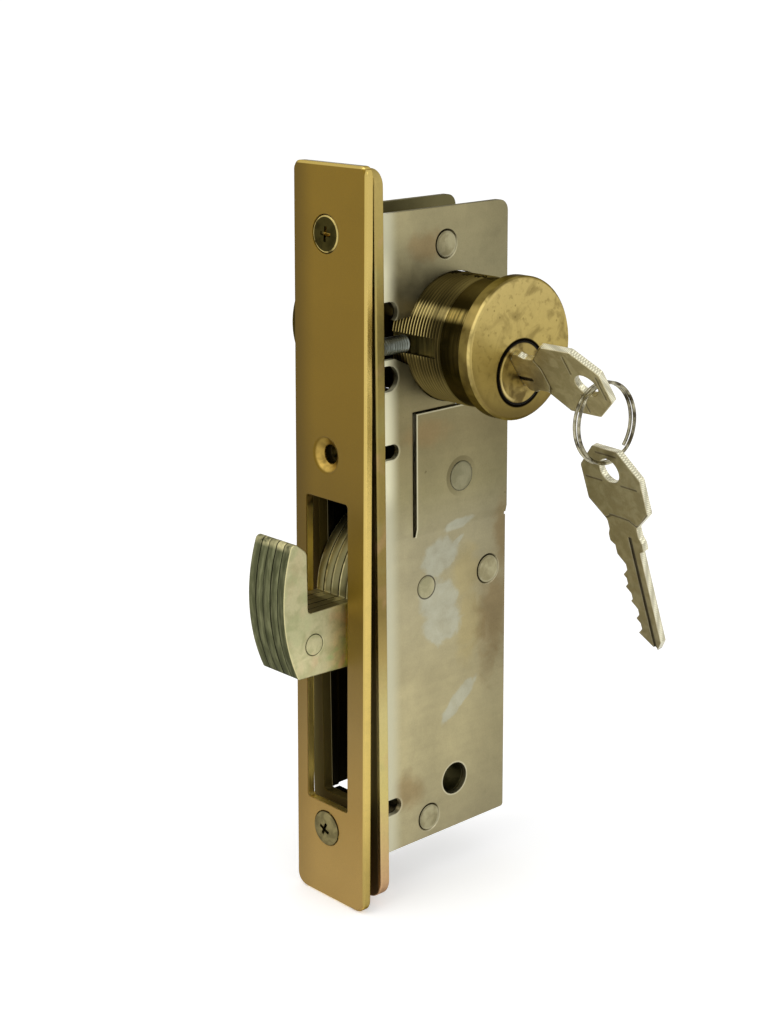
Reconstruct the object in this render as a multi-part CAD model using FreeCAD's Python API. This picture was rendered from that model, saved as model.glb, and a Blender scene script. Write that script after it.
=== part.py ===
import FreeCAD, Part
import math
import os

# Sliding door lock: a pivoting hook bolt in a folded steel case, thrown by a key cylinder on each side.
# X runs across the case (the photographed key is on +X), Y runs into the door and Z is up.
# The origin lies in the case's middle plane, on the rear face of the front plate.
# Sizes are in millimetres and angles in degrees.

V = FreeCAD.Vector

# Plates
PLATE_WIDTH = 23.8
PLATE_SHIFT = 1.1             # how far the plates' middle stands off the case's middle plane
FRONT_PLATE_TOP = 84.2
FRONT_PLATE_BOTTOM = -84.6
FRONT_PLATE_TOP_CORNER = 3.5
FRONT_PLATE_BOTTOM_CORNER = 5.0
FRONT_PLATE_THICK = 2.4
FRONT_PLATE_EDGE = 0.3
FACEPLATE_TOP = 85.0
FACEPLATE_BOTTOM = -86.1
FACEPLATE_TOP_CORNER = 2.0
FACEPLATE_BOTTOM_CORNER = 3.2
FACEPLATE_THICK = 2.0
FACEPLATE_EDGE = 0.5
FACEPLATE_TOP_GAP = 0.3       # the faceplate leans out, because its bottom screw isn't driven home
FACEPLATE_LEAN = 1.13
SLOT_TOP = 11.1
SLOT_BOTTOM = -62.5
SLOT_WIDTH = 14.1
SLOT_SHIFT = 0.25
SLOT_CORNER = 0.8
STILE_HOLE_Z = 79.5
STILE_HOLE_RADIUS = 2.1
MIDDLE_HOLE_Z = 21.1
MIDDLE_HOLE_RADIUS = 2.2
MIDDLE_HOLE_LAND = 0.5        # straight wall left behind the countersink in the faceplate

# Faceplate screws
TOP_SCREW_Z = 69.9
BOTTOM_SCREW_Z = -68.45
SCREW_RADIUS = 2.0
SCREW_LENGTH = 13.0
SCREW_HEAD_RADIUS = 4.15
SCREW_HEAD_RIM = 0.35
BOTTOM_SCREW_PROUD = 0.35
RECESS_WIDTH = 1.0
RECESS_LENGTH = 4.6
RECESS_DEPTH = 1.5
SEAT_CLEARANCE = 0.15

# Case
CASE_THICK = 17.6
SHEET = 1.6
CASE_TOP = 74.1
CASE_BOTTOM = -75.5
NEAR_SIDE_DEPTH = 42.1
FAR_SIDE_DEPTH = 41.2
BEND_RADIUS = 3.0
CASE_TOP_CORNER = 2.6
CASE_BOTTOM_CORNER = 0.8
RELIEF_DEPTH = 7.9            # how far the rounded reliefs in the bends reach into the sides
RELIEF_INNER_X = 6.0
RELIEFS = ((52.6, 4.8), (38.0, 5.8), (21.3, 3.5), (-64.3, 4.0))      # middle height, height
PANEL_FRONT = 12.5
PANEL_TOP = 29.1
PANEL_BOTTOM = 0.1
PANEL_RISE = 0.5
PANEL_STEP = 2.0
SLIT = 0.8
SLIT_TOP = 0.4                # height of the slit along the panel's top
PANEL_NOTCH = 0.4
THROUGH_HOLE_Y = 25.4
THROUGH_HOLE_Z = -63.1
THROUGH_HOLE_RADIUS = 3.95

# Pillars that hold the case's sides apart: place along Y and Z, radius of the riveted head
PILLARS = ((22.7, 65.8, 2.95), (36.4, -12.6, 3.3), (17.0, -70.6, 3.1))
PILLAR_RADIUS = 3.0
TENON_RADIUS = 2.0
HEAD_RISE = 0.25
DIMPLE_DEPTH = 0.45
DIMPLE_MARGIN = 0.45
TOP_RIVET_DROP = 9.9          # how far the top rivet of the plates lies below their top screw
PLATE_RIVETS = ((0.0, TOP_SCREW_Z - TOP_RIVET_DROP), (0.0, 32.0), (-3.3, -72.2), (3.3, -72.2))   # X, Z
PLATE_RIVET_RADIUS = 1.5
PLATE_RIVET_HEAD = 0.8
PLATE_RIVET_HEAD_RADIUS = 2.4

# Hook bolt
BOLT_Y = 16.25
BOLT_Z = -12.6
BOLT_SWEEP = 88.0
BOLT_PLATE_THICK = 2.5
BOLT_PLATE_COUNT = 5
BOLT_PIN_RADIUS = 2.6
HOOK_RADIUS = 40.15           # of the hook's outer edge
HOOK_ARC_RISE = 3.0           # how far the middle of that edge's arc lies above the bolt's pin
NOSE_TOP_ANGLE = 22.2
NOSE_INNER_Y = -17.15
NOSE_BEVEL = 3.2
HEEL_ANGLE = 24.9
THROAT_Z = -11.75
HUB_RADIUS = 20.4
HUB_END_ANGLE = 95.0
REAR_HUB_RADIUS = 13.2
BELLY_RADIUS = 15.1
HEEL_CORNER = 0.6
THROAT_CORNER = 1.0
NOSE_INNER_CORNER = 1.8
NOSE_TIP_CORNER = 1.2
HOOK_RIVET_RADIUS = 2.45
HOOK_RIVETS = ((-15.6, -19.3), (4.0, -22.5), (5.5, -1.5))             # place along Y and Z

# Lever that turns the bolt
LEVER_Y = 26.95
LEVER_Z = 12.1
LEVER_SWEEP = 34.0
LEVER_CORE_THICK = 2.3
FORK_THICK = 2.0
LEVER_PIN_RADIUS = 2.4
LEVER_HUB_RADIUS = 5.5
LEVER_HEAD_RADIUS = 3.6
LEVER_HEAD_RISE = 0.5
LEVER_ARM_END = 2.5
LEVER_ARM_HALF = 3.0
LEVER_ARM_ROOT_HALF = 4.5
LEVER_WAIST_HALF = 5.2
LEVER_HIP_CORNER = 3.0
TINE_CORNER = 0.6
WEDGE_MARGIN = 9.0            # spare angle beside the lever's arm in the bolt
TINE_WIDTH = 3.2
LEVER_RIVET_RADIUS = 1.2
LEVER_RIVET_REACH = 11.0
LEVER_RIVET_SPREAD = 3.3
DRIVE_PIN_RADIUS = 1.5
SPACER_RADIUS = 4.2
WASHER_RADIUS = 6.0

# Key cylinders
CYLINDER_Y = 25.05
CYLINDER_Z = 44.85
THREAD_RADIUS = 14.6
THREAD_DEPTH = 0.45
THREAD_PITCH = 0.9
THREAD_LENGTH = 15.2
BARREL_RADIUS = 14.45
HEAD_RADIUS = 15.85
HEAD_LENGTH = 3.4
HEAD_BEVEL = 0.7
THREAD_HOLE_CLEARANCE = 0.15
GROOVE_HALF = 2.2
GROOVE_DEPTH = 1.0
GROOVE_X_END = 17.5
PLUG_DROP = 5.3
PLUG_RADIUS = 6.35
PLUG_COLLAR_RADIUS = 7.05
PLUG_COLLAR = 1.6
PLUG_CLEARANCE = 0.06
KEY_TURN = -145.3             # how far the key has been turned from where it goes in
CAM_THICK = 2.1
CAM_HUB_RADIUS = 5.6
CAM_ARM_HALF = 2.2
CAM_NOSE_LENGTH = 3.5         # how far the nose's middle lies outside the cam's hub
CAM_SIDE_GAP = 0.25           # between a cam and the lever's middle plate
CAM_NOSE_RADIUS = 1.8
CAM_SCREW_SPREAD = 3.6
CAM_SCREW_RADIUS = 1.0
CAM_SCREW_DEPTH = 4.5
CAM_SCREW_HEAD = 0.7
CAM_SCREW_HEAD_RADIUS = 1.7
PIN_COUNT = 5
PIN_FIRST = 4.65
PIN_PITCH = 3.9
PIN_RADIUS = 1.45
PIN_CLEARANCE = 0.07
DRIVER_LENGTH = 4.2
CAP_LENGTH = 1.3
CAP_INSET = 0.75
PIN_SPRING_WIRE = 0.25
PIN_SPRING_TURNS = 5
SPRING_SPANS = 3              # spans of wire in a turn of a spring
BITTING = (2.1, 1.2, 1.6, 2.6, 2.4)            # depths of the key's cuts from bow to tip
CHAMBER_FLOOR = -1.4          # lowest point of the plug's pin chambers, from its axis

# Set screws that lock the cylinders
SET_SCREW_X = 7.9
SET_SCREW_Z = 45.1
SET_SCREW_RADIUS = 2.0
SET_SCREW_BEVEL = 0.5
SET_SCREW_SLOT_WIDTH = 0.8
SET_SCREW_SLOT_DEPTH = 1.0
NOTCH_TOP = 50.2
NOTCH_BOTTOM = 42.2
NOTCH_FLARE_TOP = 51.1
NOTCH_FLARE_BOTTOM = 39.3
NOTCH_FLARE_Y = 7.0
NOTCH_END_Y = 13.0

# Keys and their ring
KEY_THICK = 1.6
KEY_DROP = 1.0                # how far the key's middle line lies below the plug's axis when it goes in
BLADE_LENGTH = 26.0
BLADE_HALF = 3.9
BLADE_TIP = 2.6                # length of the tip's lower slope
BLADE_TIP_TOP = 3.9
BLADE_TIP_RISE = 1.8
CUT_FLAT = 1.5
CUT_SLOPE = 45.0
BLADE_TIP_GAP = 0.45          # between the key's tip and the cam
SHOULDER_GAP = 0.35
SHOULDER_START = 0.9
SHOULDER_END = 2.7
SHOULDER_HALF = 5.4
SHOULDER_CORNERS = (0.3, 0.5)
NECK_START = 4.2
NECK_LENGTH = 6.5
NECK_HALF = 4.7
NECK_CORNERS = (1.0, 1.2)
BOW_WIDE_START = 10.9
BOW_WIDE_END = 19.4
BOW_HALF = 9.4
BOW_LENGTH = 25.1
BOW_TIP_HALF = 4.0
BOW_CORNER = 0.8
BOW_EDGE = 0.15
KEY_HOLE_REACH = 19.75
KEY_HOLE_RADIUS = 2.9
BLADE_GROOVE_DEPTH = 0.45
BLADE_GROOVE_WIDTH = 1.1
BLADE_GROOVE_SHIFT = 1.7
BLADE_GROOVE_RISE = 3.6
RING_RADIUS = 8.7
RING_WIRE = 0.38
RING_TURN_GAP = 0.45
RING_CROSSOVER = 40.0         # how much of a turn the ring's wire takes to step across to its second turn
RING_PLAY = 0.75              # room between the ring's wire and the rim of a key's hole
RING_HANG = 26.8
RING_LEAN = 3.4               # how far the ring's lower side leans away from the lock
SPARE_KEY_PLACE = 5.5         # where the second key hangs on the ring, from straight down
SPARE_KEY_HANG = 18.1
SPARE_KEY_TWIST = 6.4
SPARE_KEY_TILT = 1.9
SPARE_KEY_SLIP = 0.5          # how far the second key has slid along the ring's wire

# Clearances
RUNNING = 0.1
SIDE_CLEARANCE = 0.1
SLIP = 0.15

EPS = 1.0                     # cutters run this far past the faces that they cut
FLAT = 1e-4                   # an edge that strays less than this from a plane lies in it


def polar(centre, radius, angle):
    """Point at a radius and an angle from +Y towards +Z about a centre."""
    turn = math.radians(angle)
    return centre[0] + radius * math.cos(turn), centre[1] + radius * math.sin(turn)


def rotated(point, centre, angle):
    """Point turned about a centre in the YZ plane."""
    turn = math.radians(angle)
    dy, dz = point[0] - centre[0], point[1] - centre[1]
    return (centre[0] + dy * math.cos(turn) - dz * math.sin(turn),
            centre[1] + dy * math.sin(turn) + dz * math.cos(turn))


def rounded_wire(points, place):
    """Closed wire through (a, b, radius) corners; place turns a pair into a point in space."""
    corners = [V(p[0], p[1], 0) for p in points]
    count = len(corners)
    ends = []
    for i, corner in enumerate(corners):
        radius = points[i][2] if len(points[i]) > 2 else 0.0
        before = (corners[i - 1] - corner).normalize()
        after = (corners[(i + 1) % count] - corner).normalize()
        if radius <= 0.0:
            ends.append((corner, None, corner))
            continue
        half = before.getAngle(after) / 2.0
        setback = radius / math.tan(half)
        middle = (before + after).normalize() * (radius / math.sin(half) - radius)
        ends.append((corner + before * setback, corner + middle, corner + after * setback))
    edges = []
    for i, (start, middle, end) in enumerate(ends):
        if middle is not None:
            edges.append(Part.Arc(place(start), place(middle), place(end)).toShape())
        following = ends[(i + 1) % count][0]
        if end.distanceToPoint(following) > 1e-6:
            edges.append(Part.LineSegment(place(end), place(following)).toShape())
    return Part.Wire(edges)


def prism_x(points, x0, x1):
    """Solid of a (y, z, radius) outline between two X planes."""
    wire = rounded_wire(points, lambda p: V(x0, p.x, p.y))
    return Part.Face(wire).extrude(V(x1 - x0, 0, 0))


def prism_y(points, y0, y1):
    """Solid of an (x, z, radius) outline between two Y planes."""
    wire = rounded_wire(points, lambda p: V(p.x, y0, p.y))
    return Part.Face(wire).extrude(V(0, y1 - y0, 0))


def prism_z(points, z0, z1):
    """Solid of an (x, y, radius) outline between two Z planes."""
    wire = rounded_wire(points, lambda p: V(p.x, p.y, z0))
    return Part.Face(wire).extrude(V(0, 0, z1 - z0))


def box(x0, x1, y0, y1, z0, z1):
    """Box between two corners."""
    return Part.makeBox(x1 - x0, y1 - y0, z1 - z0, V(x0, y0, z0))


def rod_x(centre, radius, x0, x1):
    """Cylinder along X at a (y, z) centre."""
    return Part.makeCylinder(radius, x1 - x0, V(x0, centre[0], centre[1]), V(1, 0, 0))


def rod_y(x, z, radius, y0, y1):
    """Cylinder along Y."""
    return Part.makeCylinder(radius, y1 - y0, V(x, y0, z), V(0, 1, 0))


def rod_z(x, y, radius, z0, z1):
    """Cylinder along Z."""
    return Part.makeCylinder(radius, z1 - z0, V(x, y, z0), V(0, 0, 1))


def turned(shape, centre, angle):
    """Copy of a shape turned about an X axis through a (y, z) centre."""
    copy = shape.copy()
    copy.rotate(V(0, centre[0], centre[1]), V(1, 0, 0), angle)
    return copy


def without(shape, *cutters):
    """Shape less its cutters."""
    return shape.cut(Part.makeCompound(list(cutters)))


def export(name, *solids):
    """Write a node's solids to its STEP file."""
    pieces = []
    for shape in solids:
        pieces.extend(shape.Solids)
    shape = pieces[0] if len(pieces) == 1 else Part.makeCompound(pieces)
    shape.exportStep("parts/" + name + ".step")
    print(name, len(pieces), "solid(s), volume", round(shape.Volume, 1), "valid", shape.isValid())


# Places and angles that follow from the sizes
HALF_CASE = CASE_THICK / 2.0
INSIDE = HALF_CASE - SHEET
BOLT_STACK = BOLT_PLATE_THICK * BOLT_PLATE_COUNT / 2.0
BOLT_AXIS = (BOLT_Y, BOLT_Z)
LEVER_AXIS = (LEVER_Y, LEVER_Z)
CYLINDER_END_X = LEVER_CORE_THICK / 2.0 + CAM_SIDE_GAP + CAM_THICK
CYLINDER_FACE_X = CYLINDER_END_X + BLADE_TIP_GAP + BLADE_LENGTH - SHOULDER_GAP
PLUG_Z = CYLINDER_Z - PLUG_DROP
PLUG_AXIS = (CYLINDER_Y, PLUG_Z)
CYLINDER_AXIS = (CYLINDER_Y, CYLINDER_Z)
SET_SCREW_TIP_Y = CYLINDER_Y - math.sqrt(THREAD_RADIUS ** 2 - (SET_SCREW_Z - CYLINDER_Z) ** 2) + GROOVE_DEPTH
LEVER_CORE = LEVER_CORE_THICK / 2.0
FORK_OUTER = LEVER_CORE + FORK_THICK

# Lever and bolt mesh through a pin in a slot, like one tooth of a gear pair
LEVER_TO_BOLT = math.hypot(LEVER_Y - BOLT_Y, LEVER_Z - BOLT_Z)
MESH_ANGLE = math.degrees(math.atan2(LEVER_Z - BOLT_Z, LEVER_Y - BOLT_Y))
HALF_BOLT = BOLT_SWEEP / 2.0
HALF_LEVER = LEVER_SWEEP / 2.0
DRIVE_PIN_REACH = (LEVER_TO_BOLT * math.sin(math.radians(HALF_BOLT))
                   / math.sin(math.radians(HALF_BOLT + HALF_LEVER)))
LOWER_ARM_ANGLE = MESH_ANGLE + 180.0 + HALF_LEVER
DRIVE_SLOT_ANGLE = MESH_ANGLE - HALF_BOLT

# Cam and lever mesh through the cam's nose in the lever's fork
CAM_NOSE_REACH = CAM_HUB_RADIUS + CAM_NOSE_LENGTH
CAM_TO_LEVER = math.hypot(LEVER_Y - CYLINDER_Y, LEVER_Z - PLUG_Z)
FORK_REACH = CAM_TO_LEVER - CAM_HUB_RADIUS - 2.0 * SLIP
CAM_LINE_ANGLE = math.degrees(math.atan2(LEVER_Z - PLUG_Z, LEVER_Y - CYLINDER_Y))
HALF_CAM = (math.degrees(math.asin(CAM_TO_LEVER * math.sin(math.radians(HALF_LEVER)) / CAM_NOSE_REACH))
            - HALF_LEVER)
CAM_ANGLE = CAM_LINE_ANGLE - HALF_CAM
UPPER_ARM_ANGLE = CAM_LINE_ANGLE + 180.0 + HALF_LEVER


def mesh_play(reach, distance, half_driver, half_driven):
    """Widest sideways stray of a nose on an arm from the middle of the slot that it turns."""
    stray = 0.0
    steps = 60
    for i in range(steps + 1):
        driver = math.radians(half_driver) * i / steps
        driven = math.radians(half_driven) * i / steps
        along = distance - reach * math.cos(driver)
        across = reach * math.sin(driver)
        slip = math.hypot(along, across) * math.sin(math.atan2(across, along) - driven)
        stray = max(stray, abs(slip))
    return stray


DRIVE_SLOT_HALF = DRIVE_PIN_RADIUS + SLIP + mesh_play(
    DRIVE_PIN_REACH, LEVER_TO_BOLT, HALF_LEVER, HALF_BOLT)
FORK_HALF = CAM_NOSE_RADIUS + SLIP + mesh_play(CAM_NOSE_REACH, CAM_TO_LEVER, HALF_CAM, HALF_LEVER)
DRIVE_NEAREST = LEVER_TO_BOLT - DRIVE_PIN_REACH
DRIVE_FARTHEST = (LEVER_TO_BOLT * math.sin(math.radians(HALF_LEVER))
                  / math.sin(math.radians(HALF_BOLT + HALF_LEVER)))


def flat_plate(bottom, top, bottom_corner, top_corner, edge, front, back):
    """Plate with rounded corners whose front edges are broken."""
    left, right = PLATE_SHIFT - PLATE_WIDTH / 2.0, PLATE_SHIFT + PLATE_WIDTH / 2.0
    plate = prism_y([(left, bottom, bottom_corner), (right, bottom, bottom_corner),
                     (right, top, top_corner), (left, top, top_corner)], front, back)
    rim = [e for e in plate.Edges if abs(e.BoundBox.YMax - front) < FLAT and e.BoundBox.YLength < FLAT]
    return plate.makeChamfer(edge, rim)


def slot_outline():
    """Outline of the bolt's slot in both plates."""
    left, right = SLOT_SHIFT - SLOT_WIDTH / 2.0, SLOT_SHIFT + SLOT_WIDTH / 2.0
    return [(left, SLOT_BOTTOM, SLOT_CORNER), (right, SLOT_BOTTOM, SLOT_CORNER),
            (right, SLOT_TOP, SLOT_CORNER), (left, SLOT_TOP, SLOT_CORNER)]


def faceplate_gap(z):
    """Gap between the plates at a height."""
    return FACEPLATE_TOP_GAP + (FACEPLATE_TOP - z) * math.tan(math.radians(FACEPLATE_LEAN))


def countersink(x, z, face_y, shank, head, rim, depth):
    """Cutter for a countersunk hole that opens towards -Y at face_y, with a rim and a cone depth deep."""
    cone = Part.makeCone(head, shank, depth, V(x, face_y + rim, z), V(0, 1, 0))
    return cone.fuse([rod_y(x, z, head, face_y - EPS, face_y + rim),
                      rod_y(x, z, shank, face_y, face_y + FACEPLATE_THICK + EPS)])


def faceplate():
    """Leaning faceplate with the bolt slot and its three countersunk holes."""
    back = -FRONT_PLATE_THICK - FACEPLATE_TOP_GAP
    front = back - FACEPLATE_THICK
    plate = flat_plate(FACEPLATE_BOTTOM, FACEPLATE_TOP, FACEPLATE_BOTTOM_CORNER, FACEPLATE_TOP_CORNER,
                       FACEPLATE_EDGE, front, back)
    shank = SCREW_RADIUS + SEAT_CLEARANCE
    head = SCREW_HEAD_RADIUS + SEAT_CLEARANCE
    cutters = [prism_y(slot_outline(), front - EPS, back + EPS)]
    for z in (TOP_SCREW_Z, BOTTOM_SCREW_Z):
        cutters.append(countersink(0, z, front, shank, head, SCREW_HEAD_RIM, head - shank))
    cutters.append(countersink(0, MIDDLE_HOLE_Z, front, MIDDLE_HOLE_RADIUS, head, 0.0,
                               FACEPLATE_THICK - MIDDLE_HOLE_LAND))
    plate = without(plate, *cutters)
    plate.rotate(V(0, back, FACEPLATE_TOP), V(1, 0, 0), -FACEPLATE_LEAN)
    return plate


def front_plate():
    """Plate that seats on the door's stile and carries the case."""
    front = -FRONT_PLATE_THICK
    plate = flat_plate(FRONT_PLATE_BOTTOM, FRONT_PLATE_TOP, FRONT_PLATE_BOTTOM_CORNER, FRONT_PLATE_TOP_CORNER,
                       FRONT_PLATE_EDGE, front, 0)
    cutters = [prism_y(slot_outline(), front - EPS, EPS)]
    for z in (TOP_SCREW_Z, BOTTOM_SCREW_Z):
        cutters.append(rod_y(0, z, SCREW_RADIUS, front - EPS, EPS))
    for z in (-STILE_HOLE_Z, STILE_HOLE_Z):
        cutters.append(rod_y(0, z, STILE_HOLE_RADIUS, front - EPS, EPS))
    cutters.append(rod_y(0, MIDDLE_HOLE_Z, MIDDLE_HOLE_RADIUS, front - EPS, EPS))
    for x in (-SET_SCREW_X, SET_SCREW_X):
        cutters.append(rod_y(x, SET_SCREW_Z, SET_SCREW_RADIUS, front - EPS, EPS))
    for x, z in PLATE_RIVETS:
        cutters.append(rod_y(x, z, PLATE_RIVET_RADIUS, front - EPS, EPS))
    return without(plate, *cutters)


def side_outline(depth):
    """Outline of a side of the case in the YZ plane."""
    return [(0, CASE_BOTTOM), (depth, CASE_BOTTOM, CASE_BOTTOM_CORNER), (depth, CASE_TOP, CASE_TOP_CORNER),
            (0, CASE_TOP)]


def case_channel():
    """Sheet folded into a channel, with its web against the front plate and its rear open."""
    outer = [(-HALF_CASE, 0, BEND_RADIUS), (HALF_CASE, 0, BEND_RADIUS),
             (HALF_CASE, NEAR_SIDE_DEPTH), (-HALF_CASE, NEAR_SIDE_DEPTH)]
    inner_bend = BEND_RADIUS - SHEET
    inner = [(-INSIDE, SHEET, inner_bend), (INSIDE, SHEET, inner_bend),
             (INSIDE, NEAR_SIDE_DEPTH + EPS), (-INSIDE, NEAR_SIDE_DEPTH + EPS)]
    sheet = prism_z(outer, CASE_BOTTOM, CASE_TOP).cut(prism_z(inner, CASE_BOTTOM - EPS, CASE_TOP + EPS))
    near = prism_x(side_outline(NEAR_SIDE_DEPTH), 0, HALF_CASE)
    return sheet.common(near.fuse(prism_x(side_outline(FAR_SIDE_DEPTH), -HALF_CASE, 0)))


def side_cut(cutter, side):
    """A cutter made for the near side, or its mirror image for the far side."""
    return cutter if side > 0 else cutter.mirror(V(0, 0, 0), V(1, 0, 0))


def bend_relief(middle, height):
    """Round-ended cutter through the near bend."""
    half = height / 2.0
    tip = RELIEF_DEPTH - half
    slot = box(RELIEF_INNER_X, HALF_CASE + EPS, -EPS, tip, middle - half, middle + half)
    return slot.fuse(rod_x((tip, middle), half, RELIEF_INNER_X, HALF_CASE + EPS))


def set_screw_notch():
    """Cutter that opens the cylinder's hole to the near bend."""
    outline = [(-EPS, NOTCH_BOTTOM), (NOTCH_FLARE_Y, NOTCH_BOTTOM), (NOTCH_END_Y, NOTCH_FLARE_BOTTOM),
               (NOTCH_END_Y, NOTCH_FLARE_TOP), (-EPS, NOTCH_TOP)]
    return prism_x(outline, SET_SCREW_X - SET_SCREW_RADIUS - SLIP, HALF_CASE + EPS)


def raised_panel():
    """Pressed-out area of the near side, with a step along its lower edge, and its slit."""
    x0, x1 = INSIDE + PANEL_RISE, HALF_CASE + PANEL_RISE
    front = PANEL_FRONT + SLIT / 2.0
    top = PANEL_TOP - SLIT_TOP / 2.0
    step_top = PANEL_BOTTOM + PANEL_STEP
    outline = [(INSIDE, PANEL_BOTTOM), (HALF_CASE, PANEL_BOTTOM), (x1, step_top), (x1, top),
               (x0, top), (x0, step_top)]
    wire = Part.makePolygon([V(x, front, z) for x, z in outline + outline[:1]])
    panel = Part.Face(wire).extrude(V(0, NEAR_SIDE_DEPTH - front, 0))
    window = box(INSIDE - EPS, HALF_CASE + EPS, PANEL_FRONT - SLIT / 2.0, NEAR_SIDE_DEPTH + EPS,
                 PANEL_BOTTOM, PANEL_TOP + SLIT_TOP / 2.0)
    notch = box(INSIDE - EPS, x1 + EPS, NEAR_SIDE_DEPTH - PANEL_NOTCH, NEAR_SIDE_DEPTH + EPS,
                PANEL_BOTTOM - PANEL_NOTCH, PANEL_BOTTOM + PANEL_NOTCH)
    return panel, window, notch


def case_shell():
    """The case's folded sheet with every hole, relief and pressing."""
    shell = case_channel()
    cutters = [prism_y(slot_outline(), -EPS, SHEET + EPS)]
    for z in (TOP_SCREW_Z, BOTTOM_SCREW_Z):
        cutters.append(rod_y(0, z, SCREW_RADIUS + SLIP, -EPS, SHEET + EPS))
    cutters.append(rod_y(0, MIDDLE_HOLE_Z, MIDDLE_HOLE_RADIUS, -EPS, SHEET + EPS))
    for x, z in PLATE_RIVETS:
        cutters.append(rod_y(x, z, PLATE_RIVET_RADIUS, -EPS, SHEET + EPS))
    for side in (1, -1):
        for middle, height in RELIEFS:
            cutters.append(side_cut(bend_relief(middle, height), side))
        cutters.append(side_cut(set_screw_notch(), side))
    x0, x1 = -HALF_CASE - EPS, HALF_CASE + EPS
    cutters.append(rod_x(CYLINDER_AXIS, THREAD_RADIUS + THREAD_HOLE_CLEARANCE, x0, x1))
    cutters.append(rod_x((THROUGH_HOLE_Y, THROUGH_HOLE_Z), THROUGH_HOLE_RADIUS, x0, x1))
    shell = without(shell, *cutters)
    panel, window, notch = raised_panel()
    shell = shell.cut(window).fuse(panel).cut(notch)
    holes = [rod_x(BOLT_AXIS, BOLT_PIN_RADIUS, x0, x1), rod_x(LEVER_AXIS, LEVER_PIN_RADIUS, x0, x1 + EPS)]
    for y, z, head in PILLARS:
        holes.append(rod_x((y, z), TENON_RADIUS, x0, x1))
        for side in (1, -1):
            floor = V(HALF_CASE - DIMPLE_DEPTH, y, z)
            dimple = Part.makeCone(head, head + DIMPLE_MARGIN, DIMPLE_DEPTH, floor, V(1, 0, 0))
            holes.append(side_cut(dimple, side))
    return without(shell, *holes).removeSplitter()


def domed_head(radius, rise, x, axis):
    """Shallow domed rivet head that stands off a base plane at x."""
    ball = (radius ** 2 + rise ** 2) / (2.0 * rise)
    sphere = Part.makeSphere(ball, V(x + rise - ball, axis[0], axis[1]))
    return sphere.common(rod_x(axis, radius, x, x + rise + EPS))


def pillar(y, z, head):
    """Pillar with a shoulder against each side, riveted over in the dimples outside."""
    axis = (y, z)
    floor = HALF_CASE - DIMPLE_DEPTH
    solid = rod_x(axis, PILLAR_RADIUS, -INSIDE, INSIDE)
    solid = solid.fuse(rod_x(axis, TENON_RADIUS, -floor, floor))
    cap = rod_x(axis, head, floor, HALF_CASE).fuse(domed_head(head, HEAD_RISE, HALF_CASE, axis))
    return solid.fuse([cap, side_cut(cap, -1)]).removeSplitter()


def plate_rivet(x, z):
    """Rivet that holds the case's web to the front plate."""
    shank = rod_y(x, z, PLATE_RIVET_RADIUS, -FRONT_PLATE_THICK, SHEET)
    return shank.fuse(rod_y(x, z, PLATE_RIVET_HEAD_RADIUS, SHEET, SHEET + PLATE_RIVET_HEAD))


def cross_recess(x, z, face_y):
    """Cutter for a cross recess in a head that faces -Y."""
    half, wide = RECESS_LENGTH / 2.0, RECESS_WIDTH / 2.0
    arms = []
    for dx, dz in ((half, wide), (wide, half)):
        arms.append(box(x - dx, x + dx, face_y, face_y + RECESS_DEPTH, z - dz, z + dz))
    cone = Part.makeCone(half, wide, RECESS_DEPTH, V(x, face_y, z), V(0, 1, 0))
    return arms[0].fuse(arms[1]).common(cone)


def faceplate_screw(z, proud):
    """Countersunk screw through the faceplate into the front plate."""
    face = -FRONT_PLATE_THICK - faceplate_gap(z) - FACEPLATE_THICK - proud
    head = rod_y(0, z, SCREW_HEAD_RADIUS, face, face + SCREW_HEAD_RIM)
    cone = Part.makeCone(SCREW_HEAD_RADIUS, SCREW_RADIUS, SCREW_HEAD_RADIUS - SCREW_RADIUS,
                         V(0, face + SCREW_HEAD_RIM, z), V(0, 1, 0))
    shank = rod_y(0, z, SCREW_RADIUS, face + SCREW_HEAD_RIM, face + SCREW_LENGTH)
    return head.fuse([cone, shank]).cut(cross_recess(0, z, face)).removeSplitter()


def set_screw(side):
    """Threaded set screw from the front plate to the groove in a cylinder."""
    x = side * SET_SCREW_X
    front = -FRONT_PLATE_THICK
    tip = SET_SCREW_TIP_Y - SLIP
    bevel = SET_SCREW_BEVEL
    slot = SET_SCREW_SLOT_WIDTH / 2.0
    body = rod_y(x, SET_SCREW_Z, SET_SCREW_RADIUS, front, tip - bevel)
    point = Part.makeCone(SET_SCREW_RADIUS, SET_SCREW_RADIUS - bevel, bevel, V(x, tip - bevel, SET_SCREW_Z),
                          V(0, 1, 0))
    driver = box(x - SET_SCREW_RADIUS, x + SET_SCREW_RADIUS, front - EPS, front + SET_SCREW_SLOT_DEPTH,
                 SET_SCREW_Z - slot, SET_SCREW_Z + slot)
    return body.fuse(point).cut(driver).removeSplitter()


def round_corner(solid, corner, radius):
    """Fillet the edge along X that stands at a (y, z) corner."""
    along = [e for e in solid.Edges if e.BoundBox.XLength > FLAT]
    nearest = min(along, key=lambda e: math.hypot(e.CenterOfMass.y - corner[0], e.CenterOfMass.z - corner[1]))
    return solid.makeFillet(radius, [nearest])


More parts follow.
